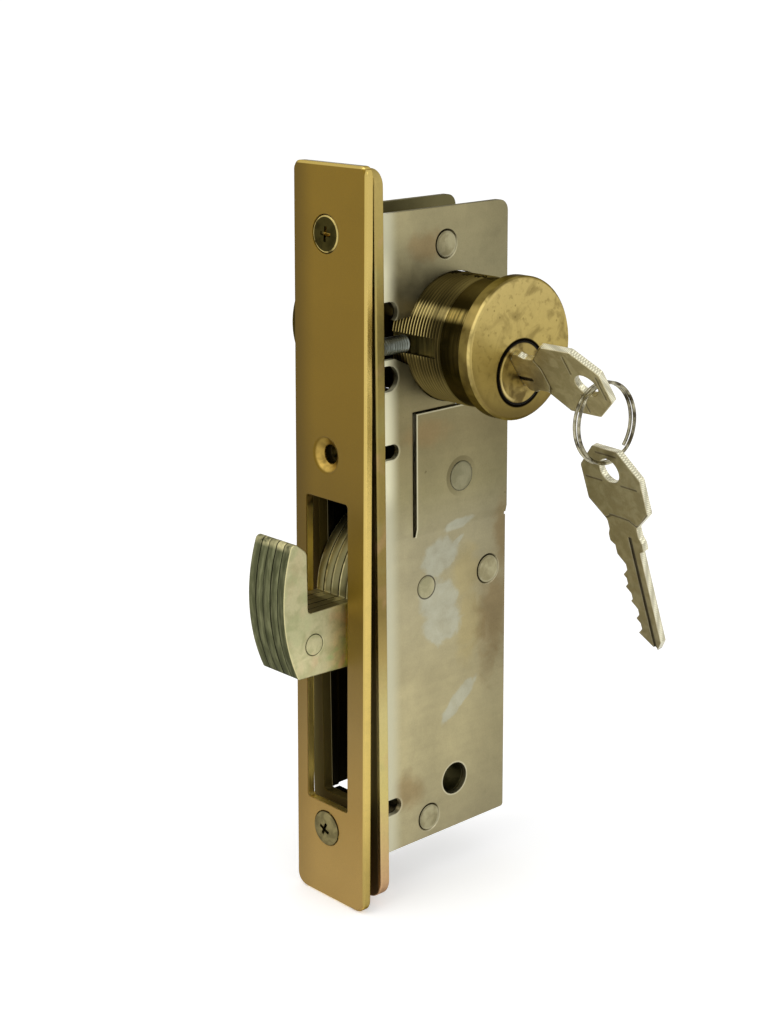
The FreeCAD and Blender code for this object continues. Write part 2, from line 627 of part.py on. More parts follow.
def hook_shape(x0, x1):
    """The hook, its throat and the round hub, without holes."""
    arc = (BOLT_Y, BOLT_Z + HOOK_ARC_RISE)
    top = polar(arc, HOOK_RADIUS, 180.0 - NOSE_TOP_ANGLE)
    heel = polar(arc, HOOK_RADIUS, 180.0 + HEEL_ANGLE)
    floor = THROAT_Z
    bottom = BOLT_Z - BELLY_RADIUS
    left = BOLT_Y - HOOK_RADIUS - EPS
    outline = [(left, heel[1], 0), (heel[0], heel[1], 0), (BOLT_Y, bottom, 0), (BOLT_Y, floor, 0),
               (NOSE_INNER_Y, floor, THROAT_CORNER), (NOSE_INNER_Y, top[1] - NOSE_BEVEL, NOSE_INNER_CORNER),
               (top[0], top[1], 0), (left, top[1] + NOSE_BEVEL, 0)]
    hook = prism_x(outline, x0, x1).common(rod_x(arc, HOOK_RADIUS, x0, x1))
    hook = round_corner(round_corner(hook, top, NOSE_TIP_CORNER), heel, HEEL_CORNER)
    sector = [(BOLT_Y, BOLT_Z), polar(BOLT_AXIS, 2 * HUB_RADIUS, 180.0),
              polar(BOLT_AXIS, 2 * HUB_RADIUS, 135.0), polar(BOLT_AXIS, 2 * HUB_RADIUS, HUB_END_ANGLE)]
    hub = rod_x(BOLT_AXIS, HUB_RADIUS, x0, x1).common(prism_x(sector, x0, x1))
    rear = rod_x(BOLT_AXIS, REAR_HUB_RADIUS, x0, x1)
    belly_box = box(x0, x1, BOLT_Y, BOLT_Y + 2 * BELLY_RADIUS, BOLT_Z - 2 * BELLY_RADIUS, BOLT_Z)
    belly = rod_x(BOLT_AXIS, BELLY_RADIUS, x0, x1).common(belly_box)
    return hook.fuse([hub, rear, belly]).removeSplitter()


def drive_slot(x0, x1):
    """Cutter for the radial slot that the lever's pin works in."""
    inner = polar(BOLT_AXIS, DRIVE_NEAREST - DRIVE_PIN_RADIUS - SLIP + DRIVE_SLOT_HALF, DRIVE_SLOT_ANGLE)
    outer = polar(BOLT_AXIS, DRIVE_FARTHEST + DRIVE_PIN_RADIUS + SLIP, DRIVE_SLOT_ANGLE)
    ends = []
    for y, z in (inner, outer):
        for side in (90.0, -90.0):
            ends.append(polar((y, z), DRIVE_SLOT_HALF, DRIVE_SLOT_ANGLE + side))
    straight = prism_x([ends[0], ends[1], ends[3], ends[2]], x0, x1)
    return straight.fuse(rod_x(inner, DRIVE_SLOT_HALF, x0, x1))


def arm_wedge(x0, x1):
    """Cutter that frees the middle bolt plate from the sweep of the lever's lower arm."""
    reach = 2.0 * BELLY_RADIUS
    half_arm = math.asin((LEVER_ARM_HALF + 2 * SLIP) / (LEVER_TO_BOLT - LEVER_HUB_RADIUS))
    margin = math.degrees(half_arm) + WEDGE_MARGIN
    low = MESH_ANGLE - BOLT_SWEEP - margin
    high = MESH_ANGLE + margin
    outline = [(BOLT_Y, BOLT_Z)]
    steps = 4
    for i in range(steps + 1):
        outline.append(polar(BOLT_AXIS, reach, low + (high - low) * i / steps))
    return prism_x(outline, x0, x1)


def bolt_plates():
    """Five riveted plates of the bolt, from the far side to the near side."""
    plates = []
    for i in range(BOLT_PLATE_COUNT):
        x0 = -BOLT_STACK + i * BOLT_PLATE_THICK
        x1 = x0 + BOLT_PLATE_THICK
        shape = hook_shape(x0, x1)
        cutters = [rod_x(BOLT_AXIS, BOLT_PIN_RADIUS + RUNNING / 2.0, x0, x1)]
        middle = i == BOLT_PLATE_COUNT // 2
        cutters.append(arm_wedge(x0, x1) if middle else drive_slot(x0, x1))
        for y, z in HOOK_RIVETS:
            cutters.append(rod_x((y, z), HOOK_RIVET_RADIUS, x0, x1))
        plates.append(without(shape, *cutters))
    return plates


def lever_upper_outline():
    """Outline of the lever's fork before it is turned into place, pointing along +Y from the axis."""
    half = FORK_HALF + TINE_WIDTH
    tip = LEVER_Y + math.sqrt(FORK_REACH ** 2 - half ** 2)
    hip = LEVER_Y + LEVER_RIVET_REACH
    return [(LEVER_Y, LEVER_Z - LEVER_WAIST_HALF), (hip, LEVER_Z - half, LEVER_HIP_CORNER),
            (tip, LEVER_Z - half, TINE_CORNER), (tip, LEVER_Z + half, TINE_CORNER),
            (hip, LEVER_Z + half, LEVER_HIP_CORNER), (LEVER_Y, LEVER_Z + LEVER_WAIST_HALF)]


def fork_layer(x0, x1):
    """Hub and fork of the lever between two X planes."""
    body = prism_x(lever_upper_outline(), x0, x1)
    body = turned(body, LEVER_AXIS, UPPER_ARM_ANGLE)
    hub = rod_x(LEVER_AXIS, LEVER_HUB_RADIUS, x0, x1)
    depth = CAM_TO_LEVER - CAM_NOSE_REACH - CAM_NOSE_RADIUS - SLIP
    notch = box(x0, x1, LEVER_Y + depth, LEVER_Y + FORK_REACH + EPS, LEVER_Z - FORK_HALF, LEVER_Z + FORK_HALF)
    notch = turned(notch, LEVER_AXIS, UPPER_ARM_ANGLE)
    cutters = [notch, rod_x(LEVER_AXIS, LEVER_PIN_RADIUS + RUNNING / 2.0, x0, x1)]
    for centre in lever_rivet_centres():
        cutters.append(rod_x(centre, LEVER_RIVET_RADIUS, x0, x1))
    return without(hub.fuse(body), *cutters)


def lever_rivet_centres():
    """Places of the lever's two rivets."""
    centres = []
    for side in (1, -1):
        flat = (LEVER_Y + LEVER_RIVET_REACH, LEVER_Z + side * LEVER_RIVET_SPREAD)
        centres.append(rotated(flat, LEVER_AXIS, UPPER_ARM_ANGLE))
    return centres


def lever_core():
    """Middle plate of the lever, with the arm that reaches into the bolt."""
    x0, x1 = -LEVER_CORE, LEVER_CORE
    pin = polar(LEVER_AXIS, DRIVE_PIN_REACH, LOWER_ARM_ANGLE)
    corners = []
    for centre, radius in ((LEVER_AXIS, LEVER_ARM_ROOT_HALF), (pin, LEVER_ARM_END)):
        for side in (90.0, -90.0):
            corners.append(polar(centre, radius, LOWER_ARM_ANGLE + side))
    arm = prism_x([corners[0], corners[1], corners[3], corners[2]], x0, x1)
    arm = arm.fuse(rod_x(pin, LEVER_ARM_END, x0, x1))
    arm = without(arm, rod_x(LEVER_AXIS, LEVER_PIN_RADIUS + RUNNING / 2.0, x0, x1))
    return fork_layer(x0, x1).fuse(arm).cut(rod_x(pin, DRIVE_PIN_RADIUS, x0, x1)).removeSplitter()


def cylinder_blank():
    """Turned body of a key cylinder, with its thread as ridges."""
    face, end = CYLINDER_FACE_X, CYLINDER_END_X
    root = THREAD_RADIUS - THREAD_DEPTH
    points = [(end, 0.0), (end, root)]
    ridges = int(round(THREAD_LENGTH / THREAD_PITCH))
    for i in range(ridges):
        start = end + i * THREAD_PITCH
        points.append((start + THREAD_PITCH / 2.0, THREAD_RADIUS))
        points.append((start + THREAD_PITCH, root))
    thread_end = end + ridges * THREAD_PITCH
    neck = face - HEAD_LENGTH
    points += [(thread_end + THREAD_DEPTH, BARREL_RADIUS), (neck, BARREL_RADIUS), (neck, HEAD_RADIUS),
               (face - HEAD_BEVEL, HEAD_RADIUS), (face, HEAD_RADIUS - HEAD_BEVEL), (face, 0.0)]
    wire = Part.makePolygon([V(x, CYLINDER_Y, CYLINDER_Z + r) for x, r in points + points[:1]])
    return Part.Face(wire).revolve(V(0, CYLINDER_Y, CYLINDER_Z), V(1, 0, 0), 360)


def pin_places():
    """X places of the pin chambers from the face inwards."""
    return [CYLINDER_FACE_X - PIN_FIRST - i * PIN_PITCH for i in range(PIN_COUNT)]


CHAMBER_RADIUS = PIN_RADIUS + PIN_CLEARANCE
SHEAR = PLUG_RADIUS + PLUG_CLEARANCE
KEY_CUT_TOPS = [BLADE_HALF - KEY_DROP - depth + PIN_CLEARANCE for depth in BITTING]
CAP_TOP_Z = CYLINDER_Z + THREAD_RADIUS - CAP_INSET


def cylinder_body():
    """Key cylinder body with the plug's bore, the pin chambers and the set screw's groove."""
    body = cylinder_blank()
    face, end = CYLINDER_FACE_X, CYLINDER_END_X
    cutters = [rod_x(PLUG_AXIS, SHEAR, end - EPS, face + EPS),
               rod_x(PLUG_AXIS, PLUG_COLLAR_RADIUS + PLUG_CLEARANCE, face - PLUG_COLLAR - PLUG_CLEARANCE,
                     face + EPS)]
    for x in pin_places():
        cutters.append(rod_z(x, CYLINDER_Y, CHAMBER_RADIUS, PLUG_Z, CYLINDER_Z + THREAD_RADIUS + EPS))
    groove = box(end - EPS, GROOVE_X_END, THREAD_RADIUS - GROOVE_DEPTH, THREAD_RADIUS + EPS,
                 SET_SCREW_Z - GROOVE_HALF, SET_SCREW_Z + GROOVE_HALF)
    rear_groove = groove.mirror(V(0, 0, 0), V(0, 1, 0))
    for cutter in (groove, rear_groove):
        cutter.translate(V(0, CYLINDER_Y, 0))
        cutters.append(cutter)
    return without(body, *cutters)


def plug():
    """Upright plug with keyway, key pin chambers and holes for the cam's screws."""
    face, end = CYLINDER_FACE_X, CYLINDER_END_X
    solid = rod_x(PLUG_AXIS, PLUG_RADIUS, end, face)
    solid = solid.fuse(rod_x(PLUG_AXIS, PLUG_COLLAR_RADIUS, face - PLUG_COLLAR, face))
    half = KEY_THICK / 2.0 + RUNNING
    tall = BLADE_HALF + RUNNING
    middle = PLUG_Z - KEY_DROP
    cutters = [box(end - EPS, face + EPS, CYLINDER_Y - half, CYLINDER_Y + half, middle - tall, middle + tall)]
    for x in pin_places():
        floor = PLUG_Z + CHAMBER_FLOOR
        cutters.append(rod_z(x, CYLINDER_Y, CHAMBER_RADIUS, floor, PLUG_Z + PLUG_RADIUS + EPS))
    for y in cam_screw_places():
        cutters.append(rod_x((y, PLUG_Z), CAM_SCREW_RADIUS, end - EPS, end + CAM_SCREW_DEPTH))
    return without(solid, *cutters)


def cam_screw_places():
    """Y places of the two screws that hold the cam to the upright plug."""
    return CYLINDER_Y - CAM_SCREW_SPREAD, CYLINDER_Y + CAM_SCREW_SPREAD


def cam(angle):
    """Cam whose nose points at an angle from +Y towards +Z, with the plug upright."""
    x0, x1 = CYLINDER_END_X - CAM_THICK, CYLINDER_END_X
    nose = polar(PLUG_AXIS, CAM_NOSE_REACH, angle)
    corners = []
    for centre, radius in ((PLUG_AXIS, CAM_ARM_HALF), (nose, CAM_NOSE_RADIUS)):
        for side in (90.0, -90.0):
            corners.append(polar(centre, radius, angle + side))
    arm = prism_x([corners[0], corners[1], corners[3], corners[2]], x0, x1)
    solid = rod_x(PLUG_AXIS, CAM_HUB_RADIUS, x0, x1).fuse([arm, rod_x(nose, CAM_NOSE_RADIUS, x0, x1)])
    holes = [rod_x((y, PLUG_Z), CAM_SCREW_RADIUS, x0 - EPS, x1 + EPS) for y in cam_screw_places()]
    return without(solid, *holes).removeSplitter()


def cam_screws():
    """Two pan-head screws that hold the cam to the upright plug."""
    x0 = CYLINDER_END_X - CAM_THICK
    screws = []
    for y in cam_screw_places():
        shank = rod_x((y, PLUG_Z), CAM_SCREW_RADIUS, x0, CYLINDER_END_X + CAM_SCREW_DEPTH - SLIP)
        screws.append(shank.fuse(rod_x((y, PLUG_Z), CAM_SCREW_HEAD_RADIUS, x0 - CAM_SCREW_HEAD, x0)))
    return screws


def key_pins(bottoms, tops):
    """Key pins in the upright plug, between given heights above its axis."""
    pins = []
    for x, low, high in zip(pin_places(), bottoms, tops):
        pin = rod_z(x, CYLINDER_Y, PIN_RADIUS, PLUG_Z + low + PIN_RADIUS / 2.0, PLUG_Z + high)
        point = Part.makeCone(PIN_RADIUS / 2.0, PIN_RADIUS, PIN_RADIUS / 2.0, V(x, CYLINDER_Y, PLUG_Z + low))
        shape = pin.fuse(point).common(rod_x(PLUG_AXIS, PLUG_RADIUS, x - 2 * PIN_RADIUS, x + 2 * PIN_RADIUS))
        pins.append(shape)
    return pins


def driver_pins(bottoms):
    """Driver pins above given heights over the plug's axis."""
    return [rod_z(x, CYLINDER_Y, PIN_RADIUS, PLUG_Z + low, PLUG_Z + low + DRIVER_LENGTH)
            for x, low in zip(pin_places(), bottoms)]


def chamber_caps():
    """Brass caps that close the pin chambers."""
    return [rod_z(x, CYLINDER_Y, CHAMBER_RADIUS, CAP_TOP_Z - CAP_LENGTH, CAP_TOP_Z) for x in pin_places()]


def biarc(start, start_way, end, end_way):
    """Two arcs that join two points smoothly, leaving and arriving in given directions."""
    chord = end - start
    both = start_way + end_way
    a = 2.0 * (start_way.dot(end_way) - 1.0)
    b = -2.0 * chord.dot(both)
    c = chord.dot(chord)
    if abs(a) < 1e-9:
        reach = -c / b
    else:
        reach = (-b - math.sqrt(b * b - 4.0 * a * c)) / (2.0 * a)
    first, second = start + start_way * reach, end - end_way * reach
    joint = (first + second) * 0.5
    arcs = []
    for begin, corner, finish in ((start, first, joint), (joint, second, end)):
        way = (begin + finish) * 0.5 - corner
        half = (corner - begin).getAngle(corner - finish) / 2.0
        radius = (corner - begin).Length * math.tan(half)
        middle = corner + way.normalize() * (radius / math.sin(half) - radius)
        arcs.append(Part.Arc(begin, middle, finish).toShape())
    return arcs


def wound_wire(stations, radius):
    """Round wire through (point, direction) stations, with its path."""
    edges = []
    for (start, start_way), (end, end_way) in zip(stations, stations[1:]):
        edges.extend(biarc(start, start_way, end, end_way))
    path = Part.Wire(edges)
    circle = Part.Wire(Part.makeCircle(radius, stations[0][0], stations[0][1]))
    return path.makePipeShell([circle], True, False), path


def pin_spring(height):
    """Upright wound spring whose wire's middle line starts at the origin's height."""
    radius = PIN_RADIUS - PIN_SPRING_WIRE - PIN_CLEARANCE
    spans = PIN_SPRING_TURNS * SPRING_SPANS
    slope = height / (2.0 * math.pi * PIN_SPRING_TURNS)
    stations = []
    for i in range(spans + 1):
        turn = 2.0 * math.pi * i / SPRING_SPANS
        point = V(radius * math.cos(turn), radius * math.sin(turn), slope * turn)
        way = V(-radius * math.sin(turn), radius * math.cos(turn), slope)
        stations.append((point, way.normalize()))
    return wound_wire(stations, PIN_SPRING_WIRE)[0]


def pin_springs(bottoms):
    """Wound springs between the driver pins and the caps."""
    springs = []
    for x, low in zip(pin_places(), bottoms):
        start = PLUG_Z + low + DRIVER_LENGTH + PIN_SPRING_WIRE
        coil = pin_spring(CAP_TOP_Z - CAP_LENGTH - PIN_SPRING_WIRE - start)
        coil.translate(V(x, CYLINDER_Y, start))
        springs.append(coil)
    return springs


def far(shape):
    """A near cylinder's piece turned half round the vertical axis to the far side."""
    copy = shape.copy()
    copy.rotate(V(0, CYLINDER_Y, 0), V(0, 0, 1), 180)
    return copy


def key_bow_outline():
    """Outline of the bow, neck and shoulders: reach from the blade's root, height, corner radius."""
    half = [(0, BLADE_HALF), (SHOULDER_START, SHOULDER_HALF, SHOULDER_CORNERS[0]),
            (SHOULDER_END, SHOULDER_HALF, SHOULDER_CORNERS[1]), (NECK_START, NECK_HALF, NECK_CORNERS[0]),
            (NECK_LENGTH, NECK_HALF, NECK_CORNERS[1]), (BOW_WIDE_START, BOW_HALF, BOW_CORNER),
            (BOW_WIDE_END, BOW_HALF, BOW_CORNER), (BOW_LENGTH, BOW_TIP_HALF, BOW_CORNER)]
    lower = [(p[0], -p[1]) + p[2:] for p in half]
    return lower + half[::-1]


def cut_middle(i):
    """Reach of a key cut from the blade's root."""
    return -(PIN_FIRST + SHOULDER_GAP + i * PIN_PITCH)


def key_blade():
    """Blade with its pointed tip and its cuts along the upper edge."""
    half = KEY_THICK / 2.0
    outline = [(0, -BLADE_HALF), (0, BLADE_HALF), (BLADE_TIP_TOP - BLADE_LENGTH, BLADE_HALF),
               (-BLADE_LENGTH, -BLADE_HALF + BLADE_TIP_RISE), (BLADE_TIP - BLADE_LENGTH, -BLADE_HALF)]
    blade = prism_y(outline, -half, half)
    cuts = []
    rise = 2.0 * BLADE_HALF
    for i, depth in enumerate(BITTING):
        middle = cut_middle(i)
        floor = BLADE_HALF - depth
        flat = CUT_FLAT / 2.0
        spread = flat + rise / math.tan(math.radians(CUT_SLOPE))
        cuts.append(prism_y([(middle - flat, floor), (middle + flat, floor), (middle + spread, floor + rise),
                             (middle - spread, floor + rise)], -half - EPS, half + EPS))
    return without(blade, *cuts)


def flat_key():
    """Key lying along +X from its blade's root at the origin, flat face towards -Y, cuts upwards."""
    half = KEY_THICK / 2.0
    bow = prism_y(key_bow_outline(), -half, half)
    bow = bow.cut(rod_y(KEY_HOLE_REACH, 0, KEY_HOLE_RADIUS, -half - EPS, half + EPS))
    rims = [e for e in bow.Edges if e.BoundBox.YLength < FLAT and e.BoundBox.XMax > SHOULDER_START]
    bow = bow.makeChamfer(BOW_EDGE, rims)
    cutters = []
    for side in (1, -1):
        low = side * BLADE_GROOVE_SHIFT - BLADE_GROOVE_WIDTH / 2.0
        near, deep = side * (half + EPS), side * (half - BLADE_GROOVE_DEPTH)
        cutters.append(box(-BLADE_LENGTH - EPS, BLADE_GROOVE_RISE, min(near, deep), max(near, deep),
                           low, low + BLADE_GROOVE_WIDTH))
    return without(bow.fuse(key_blade()), *cutters).removeSplitter()


def key_in_plug():
    """Key pushed home in the upright plug."""
    key = flat_key()
    key.translate(V(CYLINDER_FACE_X + SHOULDER_GAP, CYLINDER_Y, PLUG_Z - KEY_DROP))
    return key


def hang_direction(angle):
    """(y, z) direction that hangs at an angle from straight down towards +Y."""
    return math.sin(math.radians(angle)), -math.cos(math.radians(angle))


RING_PITCH = 2.0 * RING_WIRE + RING_TURN_GAP
RING_X = CYLINDER_FACE_X + SHOULDER_GAP + KEY_HOLE_REACH
WIRE_IN_HOLE = KEY_HOLE_RADIUS - RING_WIRE - RING_PLAY
RING_PIVOT = rotated((CYLINDER_Y, PLUG_Z - KEY_DROP + WIRE_IN_HOLE), PLUG_AXIS, KEY_TURN)
RING_CENTRE = tuple(p + RING_RADIUS * d for p, d in zip(RING_PIVOT, hang_direction(RING_HANG)))
SPARE_X = RING_X + SPARE_KEY_SLIP + 2.0 * RING_RADIUS * math.sin(math.radians(RING_LEAN))
SPARE_PIVOT = tuple(p + RING_RADIUS * d for p, d in zip(RING_CENTRE, hang_direction(SPARE_KEY_PLACE)))
SPARE_HOLE = tuple(p + WIRE_IN_HOLE * d for p, d in zip(SPARE_PIVOT, hang_direction(SPARE_KEY_HANG)))


def ring_point(angle, across):
    """Point on the ring's wire and the direction that the wire takes there, about the origin."""
    turn = math.radians(angle)
    return (V(across, RING_RADIUS * math.cos(turn), RING_RADIUS * math.sin(turn)),
            V(0, -math.sin(turn), math.cos(turn)))


def key_ring():
    """Split ring: one wire that goes round flat, steps across and goes round again."""
    half = RING_PITCH / 2.0
    step = RING_CROSSOVER / 2.0
    stations = [(-360.0 + step, -half), (-240.0, -half), (-120.0, -half), (-step, -half), (step, half),
                (120.0, half), (240.0, half), (360.0 - step, half)]
    ring, path = wound_wire([ring_point(*station) for station in stations], RING_WIRE)
    print("key ring turns apart", round(ring_gap(stations), 2), "mm, volume against section times length",
          round(ring.Volume / (math.pi * RING_WIRE ** 2 * path.Length), 4))
    ring.rotate(V(0, 0, 0), V(1, 0, 0), -90.0)
    ring.translate(V(0, 0, -RING_RADIUS))
    ring.rotate(V(0, 0, 0), V(0, 1, 0), -RING_LEAN)
    ring.rotate(V(0, 0, 0), V(1, 0, 0), RING_HANG)
    ring.translate(V(RING_X, RING_PIVOT[0], RING_PIVOT[1]))
    return ring


def ring_gap(stations):
    """Least gap between the ring's two turns, measured on points along them."""
    gap = RING_RADIUS
    for i in range(360):
        angle = -360.0 + i
        if angle < stations[0][0] or angle + 360.0 > stations[-1][0]:
            continue
        before = ring_point(angle, ring_across(angle, stations))[0]
        after = ring_point(angle + 360.0, ring_across(angle + 360.0, stations))[0]
        gap = min(gap, before.distanceToPoint(after) - 2.0 * RING_WIRE)
    return gap


def ring_across(angle, stations):
    """Sideways place of the ring's wire at an angle along it."""
    for (a0, x0), (a1, x1) in zip(stations, stations[1:]):
        if a0 <= angle <= a1:
            part = (angle - a0) / (a1 - a0)
            return x0 + (x1 - x0) * part * part * (3.0 - 2.0 * part)
    return stations[-1][1]


def spare_key():
    """Second key, hanging from the ring with its blade down and its cuts towards -X."""
    key = flat_key()
    key.translate(V(-KEY_HOLE_REACH, 0, 0))
    key.rotate(V(0, 0, 0), V(0, 1, 0), -90.0 - SPARE_KEY_TILT)
    key.rotate(V(0, 0, 0), V(0, 0, 1), -SPARE_KEY_TWIST)
    key.rotate(V(0, 0, 0), V(1, 0, 0), SPARE_KEY_HANG)
    key.translate(V(SPARE_X, SPARE_HOLE[0], SPARE_HOLE[1]))
    return key


def build_case():
    """Plates, folded case, pillars, pins and screws that stay fixed."""
    export("faceplate", faceplate())
    export("front_plate", front_plate())
    export("case_shell", case_shell())
    export("case_pillars", *[pillar(*place) for place in PILLARS])
    export("plate_rivets", *[plate_rivet(*place) for place in PLATE_RIVETS])
    export("faceplate_screws", faceplate_screw(TOP_SCREW_Z, 0.0),
           faceplate_screw(BOTTOM_SCREW_Z, BOTTOM_SCREW_PROUD))
    export("cylinder_set_screws", set_screw(1), set_screw(-1))
    export("bolt_pivot_pin", rod_x(BOLT_AXIS, BOLT_PIN_RADIUS, -HALF_CASE, HALF_CASE))
    washers = []
    spacers = []
    for side in (1, -1):
        ring = rod_x(BOLT_AXIS, WASHER_RADIUS, BOLT_STACK + SIDE_CLEARANCE, INSIDE)
        ring = ring.cut(rod_x(BOLT_AXIS, BOLT_PIN_RADIUS, BOLT_STACK, INSIDE))
        washers.append(side_cut(ring, side))
        tube = rod_x(LEVER_AXIS, SPACER_RADIUS, FORK_OUTER + SIDE_CLEARANCE, INSIDE)
        tube = tube.cut(rod_x(LEVER_AXIS, LEVER_PIN_RADIUS, FORK_OUTER, INSIDE))
        spacers.append(side_cut(tube, side))
    export("bolt_washers", *washers)
    export("lever_spacers", *spacers)
    near_face = HALF_CASE + PANEL_RISE
    pin = rod_x(LEVER_AXIS, LEVER_PIN_RADIUS, -HALF_CASE, near_face)
    head = domed_head(LEVER_HEAD_RADIUS, LEVER_HEAD_RISE, near_face, LEVER_AXIS)
    far_head = side_cut(domed_head(LEVER_HEAD_RADIUS, LEVER_HEAD_RISE, HALF_CASE, LEVER_AXIS), -1)
    export("lever_pivot_pin", pin.fuse([head, far_head]).removeSplitter())


def build_bolt():
    """The laminated hook bolt and its rivets."""
    for i, plate in enumerate(bolt_plates()):
        export("bolt_plate_%d" % (i + 1), plate)
    rivets = [rod_x(place, HOOK_RIVET_RADIUS, -BOLT_STACK, BOLT_STACK) for place in HOOK_RIVETS]
    export("bolt_rivets", *rivets)


def build_lever():
    """The lever between the cams and the bolt."""
    export("lever_core", lever_core())
    export("lever_fork_near", fork_layer(LEVER_CORE, FORK_OUTER))
    export("lever_fork_far", fork_layer(-FORK_OUTER, -LEVER_CORE))
    export("lever_rivets", *[rod_x(centre, LEVER_RIVET_RADIUS, -FORK_OUTER, FORK_OUTER)
                             for centre in lever_rivet_centres()])
    pin = polar(LEVER_AXIS, DRIVE_PIN_REACH, LOWER_ARM_ANGLE)
    half = BOLT_STACK - SIDE_CLEARANCE
    export("drive_pin", rod_x(pin, DRIVE_PIN_RADIUS, -half, half))


def build_cylinder(name, place, turn, bottoms):
    """Key cylinder whose plug is turned from where the key goes in; place moves near pieces to their side."""
    lengths = [PLUG_RADIUS - cut for cut in KEY_CUT_TOPS]
    tops = [low + length for low, length in zip(bottoms, lengths)]
    drivers = [(SHEAR if turn else top) + PIN_CLEARANCE for top in tops]

    def put(*shapes):
        return [place(shape) for shape in shapes]

    def spun(*shapes):
        return [place(turned(shape, PLUG_AXIS, turn)) for shape in shapes]

    export(name + "_cylinder_body", *put(cylinder_body()))
    export(name + "_plug", *spun(plug()))
    export(name + "_cam", *spun(cam(CAM_ANGLE - KEY_TURN)))
    export(name + "_cam_screws", *spun(*cam_screws()))
    export(name + "_key_pins", *spun(*key_pins(bottoms, tops)))
    export(name + "_driver_pins", *put(*driver_pins(drivers)))
    export(name + "_pin_springs", *put(*pin_springs(drivers)))
    export(name + "_chamber_caps", *put(*chamber_caps()))


def build_cylinders():
    """The near cylinder with the key turned in it, and the far one with its pins blocking the plug."""
    build_cylinder("near", lambda shape: shape, KEY_TURN, KEY_CUT_TOPS)
    build_cylinder("far", far, 0.0, [CHAMBER_FLOOR + PIN_CLEARANCE] * PIN_COUNT)


def build_keys():
    """The key in the lock, the ring on it and the second key."""
    export("key", turned(key_in_plug(), PLUG_AXIS, KEY_TURN))
    export("key_ring", key_ring())
    export("spare_key", spare_key())


def main():
    """Build every node of the lock."""
    os.makedirs("parts", exist_ok=True)
    print("bolt sweep", BOLT_SWEEP, "lever sweep", LEVER_SWEEP, "cam sweep", round(2 * HALF_CAM, 3))
    print("cam angle", round(CAM_ANGLE, 2), "drive pin reach", round(DRIVE_PIN_REACH, 3),
          "slot half", round(DRIVE_SLOT_HALF, 3), "fork half", round(FORK_HALF, 3))
    print("ring pivot", RING_X, RING_PIVOT, "spare key pivot", SPARE_PIVOT)
    build_case()
    build_bolt()
    build_lever()
    build_cylinders()
    build_keys()


main()
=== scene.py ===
import logging
import math
from dataclasses import dataclass
from enum import Enum
from typing import Union

import bmesh
import bpy
from mathutils import Euler, Matrix, Vector


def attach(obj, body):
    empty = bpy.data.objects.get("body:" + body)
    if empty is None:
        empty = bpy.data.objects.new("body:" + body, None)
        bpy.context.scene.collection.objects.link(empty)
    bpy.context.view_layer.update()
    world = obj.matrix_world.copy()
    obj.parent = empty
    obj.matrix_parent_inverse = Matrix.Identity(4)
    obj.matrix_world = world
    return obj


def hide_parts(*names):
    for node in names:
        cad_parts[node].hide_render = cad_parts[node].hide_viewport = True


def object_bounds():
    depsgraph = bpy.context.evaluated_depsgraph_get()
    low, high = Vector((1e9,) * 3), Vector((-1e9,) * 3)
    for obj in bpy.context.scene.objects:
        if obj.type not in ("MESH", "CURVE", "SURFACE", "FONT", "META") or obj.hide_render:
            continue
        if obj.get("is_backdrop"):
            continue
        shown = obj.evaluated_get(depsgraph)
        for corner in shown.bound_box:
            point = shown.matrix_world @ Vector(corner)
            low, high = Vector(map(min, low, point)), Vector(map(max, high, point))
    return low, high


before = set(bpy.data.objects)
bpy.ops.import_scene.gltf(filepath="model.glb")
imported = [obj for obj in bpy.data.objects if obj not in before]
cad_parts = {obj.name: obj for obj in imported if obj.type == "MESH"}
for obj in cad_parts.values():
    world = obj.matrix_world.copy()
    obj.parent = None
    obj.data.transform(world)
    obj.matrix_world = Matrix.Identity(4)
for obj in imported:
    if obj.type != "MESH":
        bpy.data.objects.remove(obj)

log = logging.getLogger("sliding_door_lock")

Triple = tuple[float, float, float]
Colour = Triple
Socket = bpy.types.NodeSocket
Material = bpy.types.Material
Object = bpy.types.Object
BMesh = bmesh.types.BMesh

MM = 0.001
PER_METRE = 1000.0
MERGE = 1e-6                            # metres within which two points become one
WHITE = (1.0, 1.0, 1.0)
EVEN = (1.0, 1.0, 1.0)                  # a pattern's stretch that changes nothing
SHIFT_WAY = (1.0, 0.7, 0.4)             # the way that a shifted pattern moves
MIX_SHARE, MIX_FIRST, MIX_SECOND, MIX_RESULT = 0, 6, 7, 2      # a Mix node's sockets for colours

# The lock's sizes in millimetres, in the frame of its solids
LEAN = math.radians(1.13)               # how far the faceplate leans away from the front plate
FACE_TOP = 85.0
FACE_Y = -4.7                           # the faceplate's front at its top edge
SLOT = (-7.0, 7.5, -62.7, 11.3)         # left, right, foot and top of the slot for the bolt
PLUG_Y, PLUG_Z = 25.05, 39.55
CYLINDER_Z = 44.85
PLUG_TURN = -145.3                      # degrees that the key is turned from where it goes in
BLADE_ROOT_X = 29.95
BLADE_DROP = 1.0                        # the blade's middle below the plug's, before it is turned
HANG_POINT = (51.2319, 30.7947, 20.8091)                       # middle of the second key's hole
HANG_TURNS = ((18.1, "X"), (-6.4, "Z"), (-91.9, "Y"))          # degrees, the last one first
KEY_HOLE_REACH = 19.75


def tone(red: float, green: float, blue: float) -> Colour:
    """Linear colour of a tone from 0 to 255 as a screen shows it."""
    return tuple(((v / 255.0 + 0.055) / 1.055) ** 2.4 for v in (red, green, blue))


